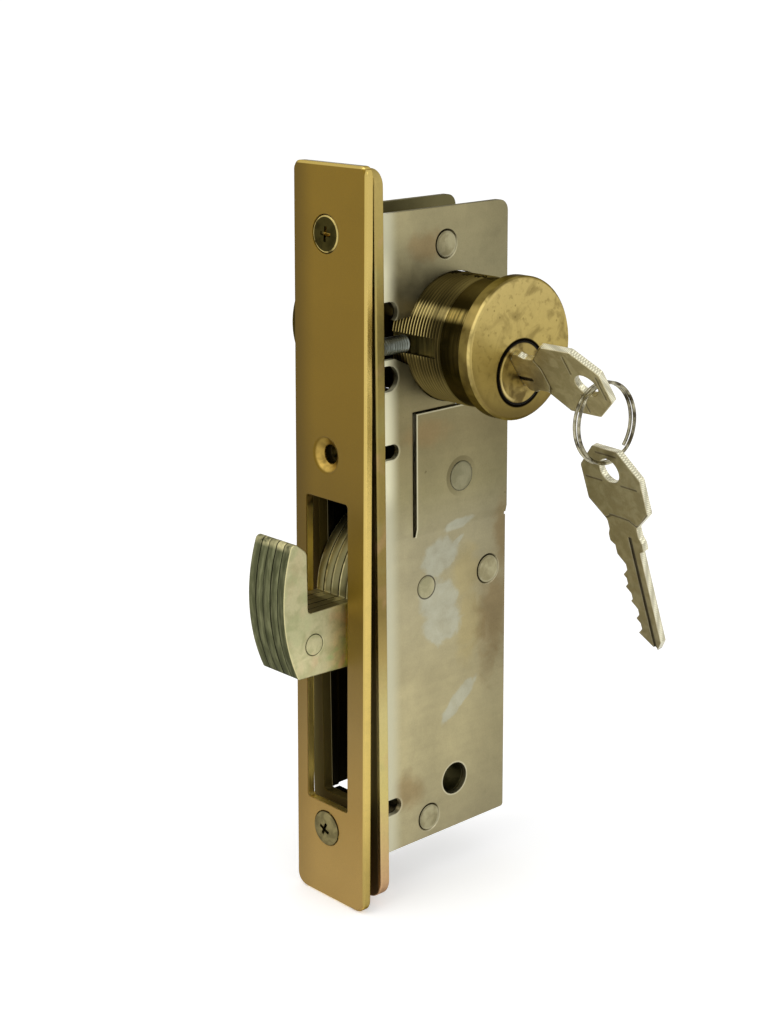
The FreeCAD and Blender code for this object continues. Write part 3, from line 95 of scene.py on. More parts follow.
class Num:
    """A number socket that adds Math nodes when it is used in an expression."""

    def __init__(self, tree: "Tree", socket: Socket) -> None:
        """Wrap one output socket of a tree."""
        self.tree = tree
        self.socket = socket

    def _maths(self, operation: str, first: "Value", second: "Value") -> "Num":
        """Add one Math node and return its result."""
        node = self.tree.node("ShaderNodeMath", {"operation": operation}, {0: first, 1: second})
        return Num(self.tree, node.outputs[0])

    def __add__(self, other: "Value") -> "Num":
        """Sum."""
        return self._maths("ADD", self, other)

    __radd__ = __add__

    def __sub__(self, other: "Value") -> "Num":
        """Difference."""
        return self._maths("SUBTRACT", self, other)

    def __rsub__(self, other: "Value") -> "Num":
        """Reflected difference."""
        return self._maths("SUBTRACT", other, self)

    def __mul__(self, other: "Value") -> "Num":
        """Product."""
        return self._maths("MULTIPLY", self, other)

    __rmul__ = __mul__

    def __truediv__(self, other: "Value") -> "Num":
        """Quotient."""
        return self._maths("DIVIDE", self, other)

    def __pow__(self, other: "Value") -> "Num":
        """Power."""
        return self._maths("POWER", self, other)

    def __abs__(self) -> "Num":
        """Size without its sign."""
        return self._maths("ABSOLUTE", self, 0.0)

    def lower(self, other: "Value") -> "Num":
        """The smaller of two values."""
        return self._maths("MINIMUM", self, other)

    def higher(self, other: "Value") -> "Num":
        """The larger of two values."""
        return self._maths("MAXIMUM", self, other)

    def angle(self, other: "Value") -> "Num":
        """Angle in radians of the point with this height and the other reach."""
        return self._maths("ARCTAN2", self, other)

    def fraction(self) -> "Num":
        """The part after the decimal point."""
        return self._maths("FRACT", self, 0.0)

    def wave(self) -> "Num":
        """Sine."""
        return self._maths("SINE", self, 0.0)

    def ramp(self, low: float, high: float) -> "Num":
        """Smooth step from 0 at low to 1 at high; low may be the larger."""
        node = self.tree.node("ShaderNodeMapRange", {"interpolation_type": "SMOOTHSTEP", "clamp": True}, {
            "Value": self, "From Min": low, "From Max": high, "To Min": 0.0, "To Max": 1.0})
        return Num(self.tree, node.outputs["Result"])

    def band(self, low: float, high: float, soft: float) -> "Num":
        """1 between low and high, falling to 0 over a soft margin outside them."""
        return self.ramp(low - soft, low) * self.ramp(high + soft, high)


Value = Union[Num, float, int]
Input = Union[Num, float, int, tuple, Socket]


@dataclass(frozen=True)
class Patch:
    """A patch of wear on the case's near side, in millimetres and degrees."""

    y: float
    z: float
    long: float
    wide: float
    turn: float = 0.0


class Tree:
    """A node tree that is written as expressions."""

    def __init__(self, tree: bpy.types.NodeTree) -> None:
        """Empty the tree."""
        self.tree = tree
        self.tree.nodes.clear()

    def node(self, kind: str, settings: dict, inputs: dict) -> bpy.types.Node:
        """Add any node.

        Args:
            kind: the node's type.
            settings: properties, set before the sockets.
            inputs: values or links by socket name or number.

        Returns:
            The new node.
        """
        new = self.tree.nodes.new(kind)
        for key, value in settings.items():
            setattr(new, key, value)
        for key, value in inputs.items():
            self.feed(new.inputs[key], value)
        return new

    def feed(self, socket: Socket, value: Input) -> None:
        """Set a socket's value or link something to it."""
        if isinstance(value, Num):
            self.tree.links.new(value.socket, socket)
        elif isinstance(value, Socket):
            self.tree.links.new(value, socket)
        elif isinstance(value, tuple) and len(value) == 3 and socket.type == "RGBA":
            socket.default_value = (*value, 1.0)
        else:
            socket.default_value = value

    def seen(self) -> Num:
        """1 for rays from the camera, reflections and transmission, and 0 for light."""
        path = self.node("ShaderNodeLightPath", {}, {})
        total = Num(self, path.outputs["Is Camera Ray"])
        for name in ("Is Glossy Ray", "Is Transmission Ray"):
            total = total.higher(Num(self, path.outputs[name]))
        return total


class Shade(Tree):
    """The node tree of one material, with the patterns that the finishes share."""

    def __init__(self, name: str) -> None:
        """Start a material with a Principled shader and its output."""
        self.material = bpy.data.materials.new(name)
        self.material.use_nodes = True
        super().__init__(self.material.node_tree)
        self.shader = self.node("ShaderNodeBsdfPrincipled", {}, {})
        self.node("ShaderNodeOutputMaterial", {}, {"Surface": self.shader.outputs[0]})
        self.place = self.node("ShaderNodeTexCoord", {}, {}).outputs["Object"]
        self.x, self.y, self.z = self.axes(self.place)

    def axes(self, place: Socket) -> tuple[Num, Num, Num]:
        """The three coordinates, in millimetres, of a place in metres."""
        node = self.node("ShaderNodeSeparateXYZ", {}, {0: place})
        return tuple(Num(self, node.outputs[i]) * PER_METRE for i in range(3))

    def moved(self, origin: Vector, turn: Euler) -> Socket:
        """Object coordinates seen from a piece's own origin and turn, in metres."""
        node = self.node("ShaderNodeMapping", {"vector_type": "TEXTURE"}, {
            "Vector": self.place, "Location": tuple(origin), "Rotation": tuple(turn)})
        return node.outputs[0]

    def stretched(self, stretch: Triple, shift: float) -> Socket:
        """Object coordinates in millimetres, times a factor along each axis, and shifted."""
        node = self.node("ShaderNodeMapping", {}, {
            "Vector": self.place, "Location": tuple(shift * way for way in SHIFT_WAY),
            "Scale": tuple(PER_METRE * factor for factor in stretch)})
        return node.outputs[0]

    def noise(self, scale: float, detail: float = 2.0, distortion: float = 0.0,
              stretch: Triple = EVEN, shift: float = 0.0) -> Num:
        """Noise around 0.5.

        Args:
            scale: waves per millimetre.
            detail: octaves.
            distortion: how far the waves are swirled.
            stretch: factor of the scale along each axis.
            shift: moves the pattern, so that two noises differ.

        Returns:
            The noise, mostly between 0.3 and 0.7.
        """
        node = self.node("ShaderNodeTexNoise", {"noise_dimensions": "3D"}, {
            "Vector": self.stretched(stretch, shift), "Scale": scale, "Detail": detail,
            "Distortion": distortion})
        return Num(self, node.outputs[0])

    def specks(self, scale: float, size: float) -> Num:
        """Scattered dots: points per millimetre, and their radius as a share of the spacing."""
        node = self.node("ShaderNodeTexVoronoi", {"feature": "F1"}, {
            "Vector": self.stretched(EVEN, 0.0), "Scale": scale})
        return Num(self, node.outputs[0]).ramp(size, size * 0.6)

    def mix(self, share: Value, first: Input, second: Input) -> Socket:
        """Colour that goes from first to second as share goes from 0 to 1."""
        node = self.node("ShaderNodeMix", {"data_type": "RGBA", "clamp_factor": True}, {
            MIX_SHARE: share, MIX_FIRST: first, MIX_SECOND: second})
        return node.outputs[MIX_RESULT]

    def coats(self, colour: Input, *coats: tuple) -> Input:
        """Colour under further coats, each given by its share and its colour."""
        for share, coat in coats:
            colour = self.mix(share, colour, coat)
        return colour

    def tint(self, colour: Input, share: Value) -> Socket:
        """Colour times a brightness."""
        node = self.node("ShaderNodeVectorMath", {"operation": "SCALE"}, {0: colour, "Scale": share})
        return node.outputs[0]

    def grained(self, colour: Input, grain: Num, amount: float = 0.32) -> Socket:
        """Colour that a grain darkens and lightens by up to half the amount."""
        return self.tint(colour, (1.0 - amount / 2.0) + amount * grain)

    def gradient(self, value: Num, low: float, high: float, stops: tuple) -> Socket:
        """Colour along a value.

        Args:
            value: the value that the colour follows.
            low: value of the first possible stop.
            high: value of the last possible stop.
            stops: pairs of a value and a colour, rising.

        Returns:
            The colour's socket.
        """
        node = self.node("ShaderNodeValToRGB", {}, {0: (value - low) / (high - low)})
        ramp = node.color_ramp
        while len(ramp.elements) < len(stops):
            ramp.elements.new(0.5)
        for element, (at, colour) in zip(ramp.elements, stops):
            element.position = (at - low) / (high - low)
            element.color = (*colour, 1.0)
        return node.outputs[0]

    def away(self, y: float, z: float) -> Num:
        """Distance in millimetres from a line along X."""
        return ((self.y - y) ** 2.0 + (self.z - z) ** 2.0) ** 0.5

    def below_face(self) -> Num:
        """Depth in millimetres behind the leaning faceplate's front."""
        return self.y - FACE_Y + (FACE_TOP - self.z) * math.tan(LEAN)

    def oval(self, patch: Patch, ragged: Value, soft: float) -> Num:
        """Share that falls from 1 inside a ragged patch to 0 outside it; soft widens the margin."""
        turn = math.radians(patch.turn)
        y, z = self.y - patch.y, self.z - patch.z
        along = (y * math.cos(turn) + z * math.sin(turn)) / patch.long
        across = (z * math.cos(turn) - y * math.sin(turn)) / patch.wide
        return ((along ** 2.0 + across ** 2.0) ** 0.5 + ragged).ramp(1.12 + soft, 0.82 - soft)

    def slot_walls(self) -> Num:
        """1 on the walls of the plates' slot for the bolt."""
        left, right, foot, top = SLOT
        return (self.x.ramp(left, left + 0.08) * self.x.ramp(right, right - 0.08)
                * self.z.ramp(foot, foot + 0.1) * self.z.ramp(top, top - 0.1))

    def head_rim(self, y: float, z: float, radius: float, width: float) -> tuple[Num, Num]:
        """Ring round a round head on the case's side.

        Args:
            y: place of the head's middle.
            z: height of the head's middle.
            radius: middle radius of the ring.
            width: half its width.

        Returns:
            The ring's share, and how far round it lies from its upper front, 0, to its lower rear, 1.
        """
        ring = self.away(y, z).band(radius - width, radius + width, width * 0.6)
        side = ((self.y - y) - (self.z - z)) / radius * 0.36 + 0.5
        return ring, side

    def finish(self, colour: Input, roughness: Value, metallic: Value, height: Value = 0.0,
               depth: float = 0.02, edge: float = 0.12, grazing: float = 1.0) -> Material:
        """Feed the shader.

        Args:
            colour: base colour.
            roughness: roughness.
            metallic: share of metal.
            height: pattern that stands off the surface.
            depth: how far the height's 1 stands off, in millimetres.
            edge: radius that hard edges are rounded by, in millimetres.
            grazing: share of light that the metal mirrors when it is seen nearly edge-on.

        Returns:
            The finished material.
        """
        self.feed(self.shader.inputs["Specular Tint"], (grazing, grazing, grazing))
        self.feed(self.shader.inputs["Base Color"], colour)
        self.feed(self.shader.inputs["Roughness"], roughness)
        self.feed(self.shader.inputs["Metallic"], metallic)
        normal = self.node("ShaderNodeBevel", {"samples": 6}, {"Radius": edge * MM}).outputs[0]
        if isinstance(height, Num):
            normal = self.node("ShaderNodeBump", {}, {
                "Strength": 1.0, "Distance": depth * MM, "Height": height, "Normal": normal}).outputs[0]
        self.feed(self.shader.inputs["Normal"], normal)
        return self.material


class KeyPlace(Enum):
    """Where a key is: pushed home in the turned plug, or hanging on the ring."""

    IN_PLUG = "in_plug"
    ON_RING = "on_ring"

    def frame(self) -> tuple[Vector, Euler]:
        """Origin, at the root of the blade, and turn of a key whose reach is X and whose height is Z.

        Returns:
            The origin in metres and the turn.
        """
        if self is KeyPlace.IN_PLUG:
            turn = Matrix.Rotation(math.radians(PLUG_TURN), 3, "X")
            axis = Vector((0.0, PLUG_Y, PLUG_Z))
            root = axis + turn @ (Vector((BLADE_ROOT_X, PLUG_Y, PLUG_Z - BLADE_DROP)) - axis)
        else:
            turn = Matrix.Identity(3)
            for angle, letter in HANG_TURNS:
                turn = turn @ Matrix.Rotation(math.radians(angle), 3, letter)
            root = Vector(HANG_POINT) + turn @ Vector((-KEY_HOLE_REACH, 0.0, 0.0))
        return root * MM, turn.to_euler("XYZ")


@dataclass(frozen=True)
class GoldPlate:
    """Satin gold paint on the faceplate; painted light pales it to its foot and lights its edges."""

    # painted light: the tones by height grow paler towards the foot
    down: tuple = ((-86.0, tone(172, 141, 78)), (-64.0, tone(160, 129, 66)), (-42.0, tone(144, 118, 62)),
                   (-24.0, tone(123, 99, 41)), (-8.0, tone(111, 88, 24)), (30.0, tone(122, 96, 23)),
                   (84.0, tone(129, 102, 26)))
    # painted highlight for the right and top edges
    painted_highlight: Colour = tone(206, 181, 104)
    # the holes' walls: painted shade deeper in, and painted light on the slot's walls
    wall: Colour = tone(178, 148, 74)
    wall_deep_shade: Colour = tone(150, 122, 58)
    slot_wall: Colour = tone(246, 216, 116)
    right_x: float = 13.0
    left_x: float = -10.8

    def material(self) -> Material:
        """Build the finish."""
        s = Shade("gold_plate")
        grain, cloud, sparkle = s.noise(2.6, 3.0), s.noise(0.06, 3.0, 0.5), s.noise(5.0)
        left = s.x.ramp(-3.0, self.left_x) * (0.5 + 0.5 * s.z.ramp(-10.0, 20.0))
        # painted light: lighter beside the hook, against the shade it throws
        lit_by_hook = s.x.ramp(7.0, 7.6) * s.z.ramp(10.0, -2.5) * s.z.ramp(-16.0, -10.5)
        wear_and_sheen = (0.9 + 0.2 * cloud) * (0.93 + 0.14 * grain) * (0.88 + 0.24 * sparkle)
        painted = s.tint(s.gradient(s.z, -86.0, 86.0, self.down),
                         (1.0 - 0.42 * left) * (1.0 + 0.5 * lit_by_hook) * wear_and_sheen)
        below = s.below_face()
        # painted shade: the walls darken deeper behind the face
        wall = s.mix(below.ramp(0.6, 1.9), self.wall, self.wall_deep_shade)
        # painted highlight on the lower part of the countersink
        lit = 0.7 * s.z.ramp(23.5, 18.5) * s.noise(0.5, 2.0, 0.3).ramp(0.3, 0.6)
        # painted light: the slot's walls take the light wall tone
        wall = s.mix(s.z.ramp(9.0, 7.0) * abs(s.x).ramp(7.6, 7.4), s.tint(wall, 0.7 + lit), self.slot_wall)
        # painted highlight along the right and top edges, dimmer towards the foot
        side = s.x.ramp(self.right_x - 0.55, self.right_x - 0.4).higher(
            s.z.ramp(FACE_TOP - 0.6, FACE_TOP - 0.45))
        edge = s.tint(self.painted_highlight, 1.0 - 0.35 * s.z.ramp(-55.0, -80.0))
        inner = below.ramp(0.15, 0.5)
        colour = s.coats(painted, (inner, wall), (side * (0.75 + 0.25 * cloud), edge))
        rough = 0.46 - 0.14 * side + 0.16 * (grain - 0.5) - 0.1 * inner
        shine = 0.4 + 0.6 * side.higher(inner)
        return s.finish(colour, rough, shine, grain, depth=0.012, edge=0.3, grazing=0.3)


@dataclass(frozen=True)
class YellowZinc:
    """Yellow passivated zinc that shimmers faintly green and pink, in broad bands along its length."""

    name: str = "yellow_zinc"
    down: tuple = ((-85.0, tone(190, 150, 118)), (-72.0, tone(196, 168, 116)), (-58.0, tone(198, 182, 114)),
                   (-38.0, tone(192, 178, 120)), (-24.0, tone(160, 140, 86)), (-14.0, tone(128, 110, 62)),
                   (20.0, tone(146, 128, 72)), (45.0, tone(156, 140, 80)), (85.0, tone(172, 152, 90)))
    green: Colour = tone(150, 154, 104)
    pink: Colour = tone(190, 150, 116)
    shadow: Colour = tone(56, 47, 27)
    wall: Colour = tone(86, 74, 34)
    # brightness factor; the lever's copy in the case takes 0.5, painted shade
    lit_tone: float = 1.0

    def material(self) -> Material:
        """Build the finish."""
        s = Shade(self.name)
        film, second = s.noise(0.09, 3.0, 0.6), s.noise(0.12, 2.0, 0.4, shift=5.0)
        grain = s.noise(2.2, 4.0)
        # painted shade: the front face behind the faceplate and the slot's walls are darkened
        between = s.y.ramp(-2.2, -2.34) * s.x.ramp(12.4, 11.6)
        walls = s.slot_walls()
        colour = s.coats(s.gradient(s.z, -86.0, 86.0, self.down),
                         (film.ramp(0.5, 0.7) * 0.25, self.green), (second.ramp(0.56, 0.74) * 0.3, self.pink),
                         (between * 0.85, self.shadow), (walls * 0.9, self.wall))
        colour = s.tint(colour, self.lit_tone * (0.84 + 0.32 * grain))
        rough = 0.3 + 0.2 * grain + 0.25 * walls.higher(between)
        return s.finish(colour, rough, 1.0, grain, depth=0.01, edge=0.2, grazing=0.4)


@dataclass(frozen=True)
class CaseZinc:
    """Dull zinc sheet: tan and olive, pale wear patches, a painted highlight on the fold, painted shade
    within.
    """

    # painted shade: the tones by height darken below the cylinder, from about 10 to 42
    down: tuple = ((-75.0, tone(160, 151, 118)), (-54.0, tone(172, 162, 124)), (-35.0, tone(168, 158, 122)),
                   (-18.0, tone(168, 159, 126)), (0.0, tone(158, 150, 119)), (10.0, tone(142, 134, 99)),
                   (24.0, tone(129, 119, 86)), (42.0, tone(138, 130, 96)), (60.0, tone(152, 144, 110)),
                   (74.0, tone(152, 143, 108)))
    # painted highlight for the fold at the front
    bend_highlight: Colour = tone(214, 211, 180)
    straw: Colour = tone(174, 158, 108)
    rubbed_and_highlight: Colour = tone(172, 173, 156)
    # colour of stained patches and of painted shade near the cylinder
    stain_and_shade: Colour = tone(138, 118, 82)
    # painted shade within the case, lighter towards the top and rear
    inside: Colour = tone(50, 46, 32)
    inside_top: Colour = tone(100, 94, 64)
    # dark ring round heads and pins, with painted shade on the heads' upper front
    joint_and_shade: Colour = tone(44, 38, 24)
    shadow: Colour = tone(104, 96, 68)
    # painted highlight for the slit, the holes, the reliefs and the heads' lower rear
    lip_highlight: Colour = tone(208, 203, 172)
    speck: Colour = tone(70, 58, 36)
    half: float = 8.8
    patches: tuple = (Patch(26.6, 0.7, 4.8, 1.5, 8.0), Patch(20.6, -6.2, 5.6, 4.6, 20.0),
                      Patch(25.6, -3.9, 3.4, 0.8, 30.0), Patch(20.4, -16.6, 5.6, 5.4),
                      Patch(21.4, -22.6, 6.2, 5.0), Patch(27.0, -42.8, 6.6, 2.1, 40.0))
    straws: tuple = (Patch(29.0, -12.0, 4.6, 6.0), Patch(30.5, -24.0, 4.2, 9.0))
    # stained patches, and painted shade under the cylinder at 16, 24
    stain_and_shade_patches: tuple = (Patch(16.0, 24.0, 6.0, 3.0), Patch(38.0, -24.0, 5.0, 13.0), Patch(41.5, -6.0, 3.0, 10.0),
                     Patch(17.0, 66.0, 5.0, 3.0), Patch(9.0, -62.0, 5.0, 4.0))
    heads: tuple = ((22.7, 65.8, 3.2), (36.4, -12.6, 3.55), (17.0, -70.6, 3.35))
    pin: tuple = (16.25, -12.6, 2.75)
    lever_pin: tuple = (26.95, 12.1, 4.1)
    hole: tuple = (25.4, -63.1, 3.95)
    reliefs: tuple = ((52.6, 4.8), (38.0, 5.8), (21.3, 3.5), (-64.3, 4.0))    # middle and height
    relief_deep: float = 7.9
    panel_y: float = 12.5
    panel_z: float = 29.1

    def spread(self, s: Shade, patches: tuple, ragged: Value, soft: float) -> Num:
        """Share of all patches of one kind.

        Args:
            s: the shade.
            patches: the patches.
            ragged: noise that frays their outlines.
            soft: how much wider their margins are.

        Returns:
            Their joint share.
        """
        total = s.oval(patches[0], ragged, soft)
        for patch in patches[1:]:
            total = total.higher(s.oval(patch, ragged, soft))
        return total

    def lip_highlights(self, s: Shade) -> Num:
        """Painted highlights on the rims of the slit, the through hole and the reliefs."""
        y, z, radius = self.hole
        lip_highlight = s.y.band(self.panel_y + 0.4, self.panel_y + 0.7, 0.12) * s.z.band(0.0, self.panel_z - 0.2, 0.2)
        lip_highlight = lip_highlight.higher(s.z.band(self.panel_z - 0.5, self.panel_z - 0.2, 0.12) * s.y.ramp(12.7, 12.9) * 0.7)
        lip_highlight = lip_highlight.higher(s.away(y, z).band(radius - 0.05, radius + 0.3, 0.12) * 0.7)
        for middle, height in self.reliefs:
            beyond = (s.y - (self.relief_deep - height / 2.0)).higher(0.0)
            from_slot = (beyond ** 2.0 + (s.z - middle) ** 2.0) ** 0.5
            weight = (beyond * 0.3 + (middle - s.z) / height).ramp(-0.3, 0.5)
            lip_highlight = lip_highlight.higher(from_slot.band(height / 2.0 - 0.1, height / 2.0 + 0.4, 0.15) * weight * 0.4)
        return lip_highlight

    def material(self) -> Material:
        """Build the finish."""
        s = Shade("case_zinc")
        broad, mottled, grain = s.noise(0.05, 4.0, 0.5), s.noise(0.3, 5.0, 0.3), s.noise(2.4, 4.0)
        rolled = s.noise(0.6, 3.0, stretch=(1.0, 0.06, 1.0))
        near = s.x.ramp(self.half - 1.2, self.half - 0.4)
        ragged = (s.noise(0.22, 5.0, 0.6, shift=3.0) - 0.5) * 1.3
        wear_and_sheen = self.spread(s, self.patches, ragged, 0.03) * near * (0.45 + 0.6 * mottled)
        colour = s.coats(s.gradient(s.z, -76.0, 75.0, self.down),
                         (self.spread(s, self.straws, ragged, 0.3) * near * 0.5, self.straw),
                         (self.spread(s, self.stain_and_shade_patches, ragged * 1.4, 0.45) * 0.7, self.stain_and_shade),
                         (wear_and_sheen * 0.8, self.rubbed_and_highlight))
        # painted light: lighter towards the front and darker towards the rear
        rear = s.y.ramp(25.0, 41.0)
        front = s.y.ramp(17.0, 9.0) * (1.0 - 0.7 * s.z.band(-32.0, -10.0, 6.0))
        colour = s.tint(colour, (0.94 + 0.4 * (broad - 0.5) + 0.34 * (mottled - 0.5) + 0.2 * (grain - 0.5)
                                 + 0.12 * (rolled - 0.5)) * (1.0 - 0.2 * rear + 0.2 * front))
        # painted highlight on the fold, stronger at mid height
        bend_highlight = s.y.ramp(8.6, 3.6) * s.x.ramp(4.0, 5.0)
        colour = s.coats(colour, (bend_highlight * 0.95, s.tint(self.bend_highlight, 1.0 + 0.5 * s.z.band(14.0, 60.0, 8.0))),
                         (s.specks(0.12, 0.07) * mottled.ramp(0.5, 0.6), self.speck))
        # painted shade on each head's upper front rim and a painted highlight on its lower rear
        for head in self.heads:
            ring, side = s.head_rim(*head, 0.18)
            colour = s.coats(colour, (ring * near * (1.1 - side * 1.6).higher(0.0) * 0.8, self.joint_and_shade),
                             (ring * near * side * 0.3, self.lip_highlight))
        pin_ring = s.head_rim(*self.pin, 0.14)[0]
        # painted shade round the lever pin's head on its upper front
        lever_ring, side = s.head_rim(*self.lever_pin, 0.5)
        # painted shade within the case and on the slot's walls, lighter at the top and rear
        inner = (abs(s.x).ramp(7.7, 7.3) * s.y.ramp(0.8, 1.15)).higher(s.slot_walls() * s.y.ramp(2.0, 1.8))
        deep = s.mix(s.z.ramp(58.0, 70.0).higher(s.y.ramp(12.0, 30.0)), self.inside, self.inside_top)
        colour = s.coats(colour, (pin_ring * near * 0.75, self.joint_and_shade),
                         (lever_ring * near * (1.0 - side) * 0.8, self.shadow),
                         (self.lip_highlights(s) * near * 0.75, self.lip_highlight), (inner, deep))
        rough = 0.40 + 0.2 * (mottled - 0.5) - 0.06 * wear_and_sheen
        shine = 1.0 - 0.9 * bend_highlight * (1.0 - inner)
        return s.finish(colour, rough, shine, grain * 0.5 + mottled + wear_and_sheen * 0.2,
                        depth=0.014, edge=0.18, grazing=0.25)


@dataclass(frozen=True)
class HeadZinc:
    """Struck zinc on a riveted head or pin end, ringed by its own edge in painted shade and painted
    highlight.
    """

    name: str
    heads: tuple
    light: Colour
    dark: Colour
    ring: float = 0.35
    # painted shade for the rim's upper front and for the faces within the case
    inside: Colour = tone(58, 53, 38)
    # painted highlight for the rim's lower rear
    lip_highlight: Colour = tone(206, 201, 170)

    def material(self) -> Material:
        """Build the finish."""
        s = Shade(self.name)
        struck, grain = s.noise(0.35, 3.0, 0.4), s.noise(2.6, 3.0)
        colour = s.mix(struck.ramp(0.36, 0.64), self.dark, self.light)
        # painted shade below the cylinder on heads between heights 6 and 30
        colour = s.tint(colour, 1.0 - 0.34 * s.z.band(6.0, 30.0, 4.0))
        for y, z, radius in self.heads:
            # painted shade on the ring's upper front and painted highlight on its lower rear
            ring, side = s.head_rim(y, z, radius - 0.2, 0.2)
            colour = s.coats(colour, (ring * (1.0 - side) * self.ring, self.inside),
                             (ring * side * self.ring * 0.8, self.lip_highlight))
        # painted shade on the faces that look into the case
        colour = s.mix(abs(s.x).ramp(8.3, 7.6) * 0.9, colour, self.inside)
        return s.finish(s.grained(colour, grain, 0.24), 0.38 + 0.1 * grain, 1.0, struck + grain * 0.3,
                        depth=0.012, edge=0.3, grazing=0.4)


@dataclass(frozen=True)
class BoltZinc:
    """Passivated hook plates: pale faces with a faint rainbow; dark stamped edges, with painted light on
    tips, throat and hub.
    """

    face: Colour = tone(190, 184, 142)
    olive: Colour = tone(172, 169, 126)
    green: Colour = tone(158, 176, 122)
    pink: Colour = tone(204, 168, 134)
    stamped: Colour = tone(84, 86, 60)
    torn: Colour = tone(108, 109, 79)
    # painted highlight colour for the tips, the rims and the hub's layers
    rubbed_and_highlight: Colour = tone(224, 214, 160)
    # painted light: the hub's edges and the throat's upward faces take lighter tones
    hub: Colour = tone(134, 127, 88)
    floor: Colour = tone(132, 122, 80)
    joint: Colour = tone(22, 22, 14)
    side_x: float = 6.25
    plate: float = 2.5
    rivets: tuple = ((-15.6, -19.3), (4.0, -22.5), (5.5, -1.5))
    rivet_radius: float = 2.45

    def faces(self, s: Shade, blotch: Num) -> Socket:
        """Colour of the outer plates' faces.

        Args:
            s: the shade.
            blotch: noise that clouds them.

        Returns:
            The colour's socket.
        """
        film, second = s.noise(0.12, 2.0, 0.6), s.noise(0.14, 2.0, 0.5, shift=4.0)
        low = s.z.ramp(-12.0, -20.0) * s.y.ramp(-18.0, -12.0)
        face = s.coats(self.olive, (blotch.ramp(0.36, 0.6), self.face),
                       (film.ramp(0.5, 0.64) * (0.2 + 0.6 * low), self.green),
                       (second.ramp(0.52, 0.66) * (0.15 + 0.6 * low), self.pink))
        for y, z in self.rivets:
            rim = s.away(y, z).band(self.rivet_radius - 0.08, self.rivet_radius + 0.06, 0.1)
            face = s.mix(rim * 0.75, face, self.stamped)
        # painted light: lighter towards the slot and towards the foot
        return s.tint(face, (0.86 + 0.7 * s.y.ramp(-14.0, -8.0)) * (1.0 + 0.25 * s.z.ramp(-15.0, -23.0)))

    def edges(self, s: Shade, blotch: Num, scored: Num) -> Socket:
        """Colour of the plates' stamped edges, layer by layer.

        Args:
            s: the shade.
            blotch: noise that clouds them.
            scored: noise drawn out along the stamping.

        Returns:
            The colour's socket.
        """
        edge = s.mix(scored.ramp(0.4, 0.66), self.stamped, self.torn)
        edge = s.tint(edge, (0.95 + 0.2 * (s.x * 2.1 + 0.6).wave()) * (0.8 + 0.4 * blotch))
        # painted light on the throat's upward faces
        in_throat = s.z.ramp(-11.2, -11.5) * s.z.ramp(-12.4, -12.0) * s.y.ramp(-17.0, -16.7)
        on_hub = s.y.ramp(-6.5, -4.5) * s.z.ramp(-11.9, -11.4)
        # painted highlights on the nose's tip and along the hub's layers
        tip = s.z.ramp(2.8, 4.2) * s.y.ramp(-18.0, -19.5)
        within = (s.x / self.plate).fraction()
        glint = (s.z.ramp(-11.3, -11.8) * s.y.band(-7.0, -5.0, 1.0)).higher(tip)
        glint = glint.higher(on_hub * within.band(0.56, 0.7, 0.05))
        polished = (s.x / (2.0 * self.plate) + 0.25).fraction().ramp(0.4, 0.6) * 0.5 + 0.5
        return s.coats(edge, (in_throat, self.floor), (on_hub * (0.6 + 0.6 * blotch), self.hub),
                       (glint * polished * blotch.ramp(0.3, 0.55) * 0.85, self.rubbed_and_highlight),
                       (abs(within - 0.5).ramp(0.075, 0.03) * 0.92, self.joint))

    def material(self) -> Material:
        """Build the finish."""
        s = Shade("bolt_zinc")
        grain, blotch = s.noise(2.3, 4.0), s.noise(0.3, 4.0, 0.4)
        scored = s.noise(0.25, 4.0, 0.2, (6.0, 1.0, 1.0))
        on_face = abs(s.x).ramp(self.side_x - 0.3, self.side_x - 0.12)
        # painted highlight along the near face's rim
        rim = s.x.band(self.side_x - 0.3, self.side_x - 0.1, 0.06) * s.y.ramp(-15.0, -18.5)
        colour = s.coats(self.edges(s, blotch, scored), (on_face, self.faces(s, blotch)),
                         (rim * 0.6, self.rubbed_and_highlight))
        # painted shade: darker within the case
        colour = s.tint(s.grained(colour, grain, 0.28), 1.0 - 0.55 * s.y.ramp(0.5, 6.0))
        return s.finish(colour, 0.36 + 0.14 * grain - 0.04 * on_face, 1.0,
                        scored * (1.0 - on_face) + grain * 0.3 + blotch * 0.3,
                        depth=0.03, edge=0.3, grazing=0.5)


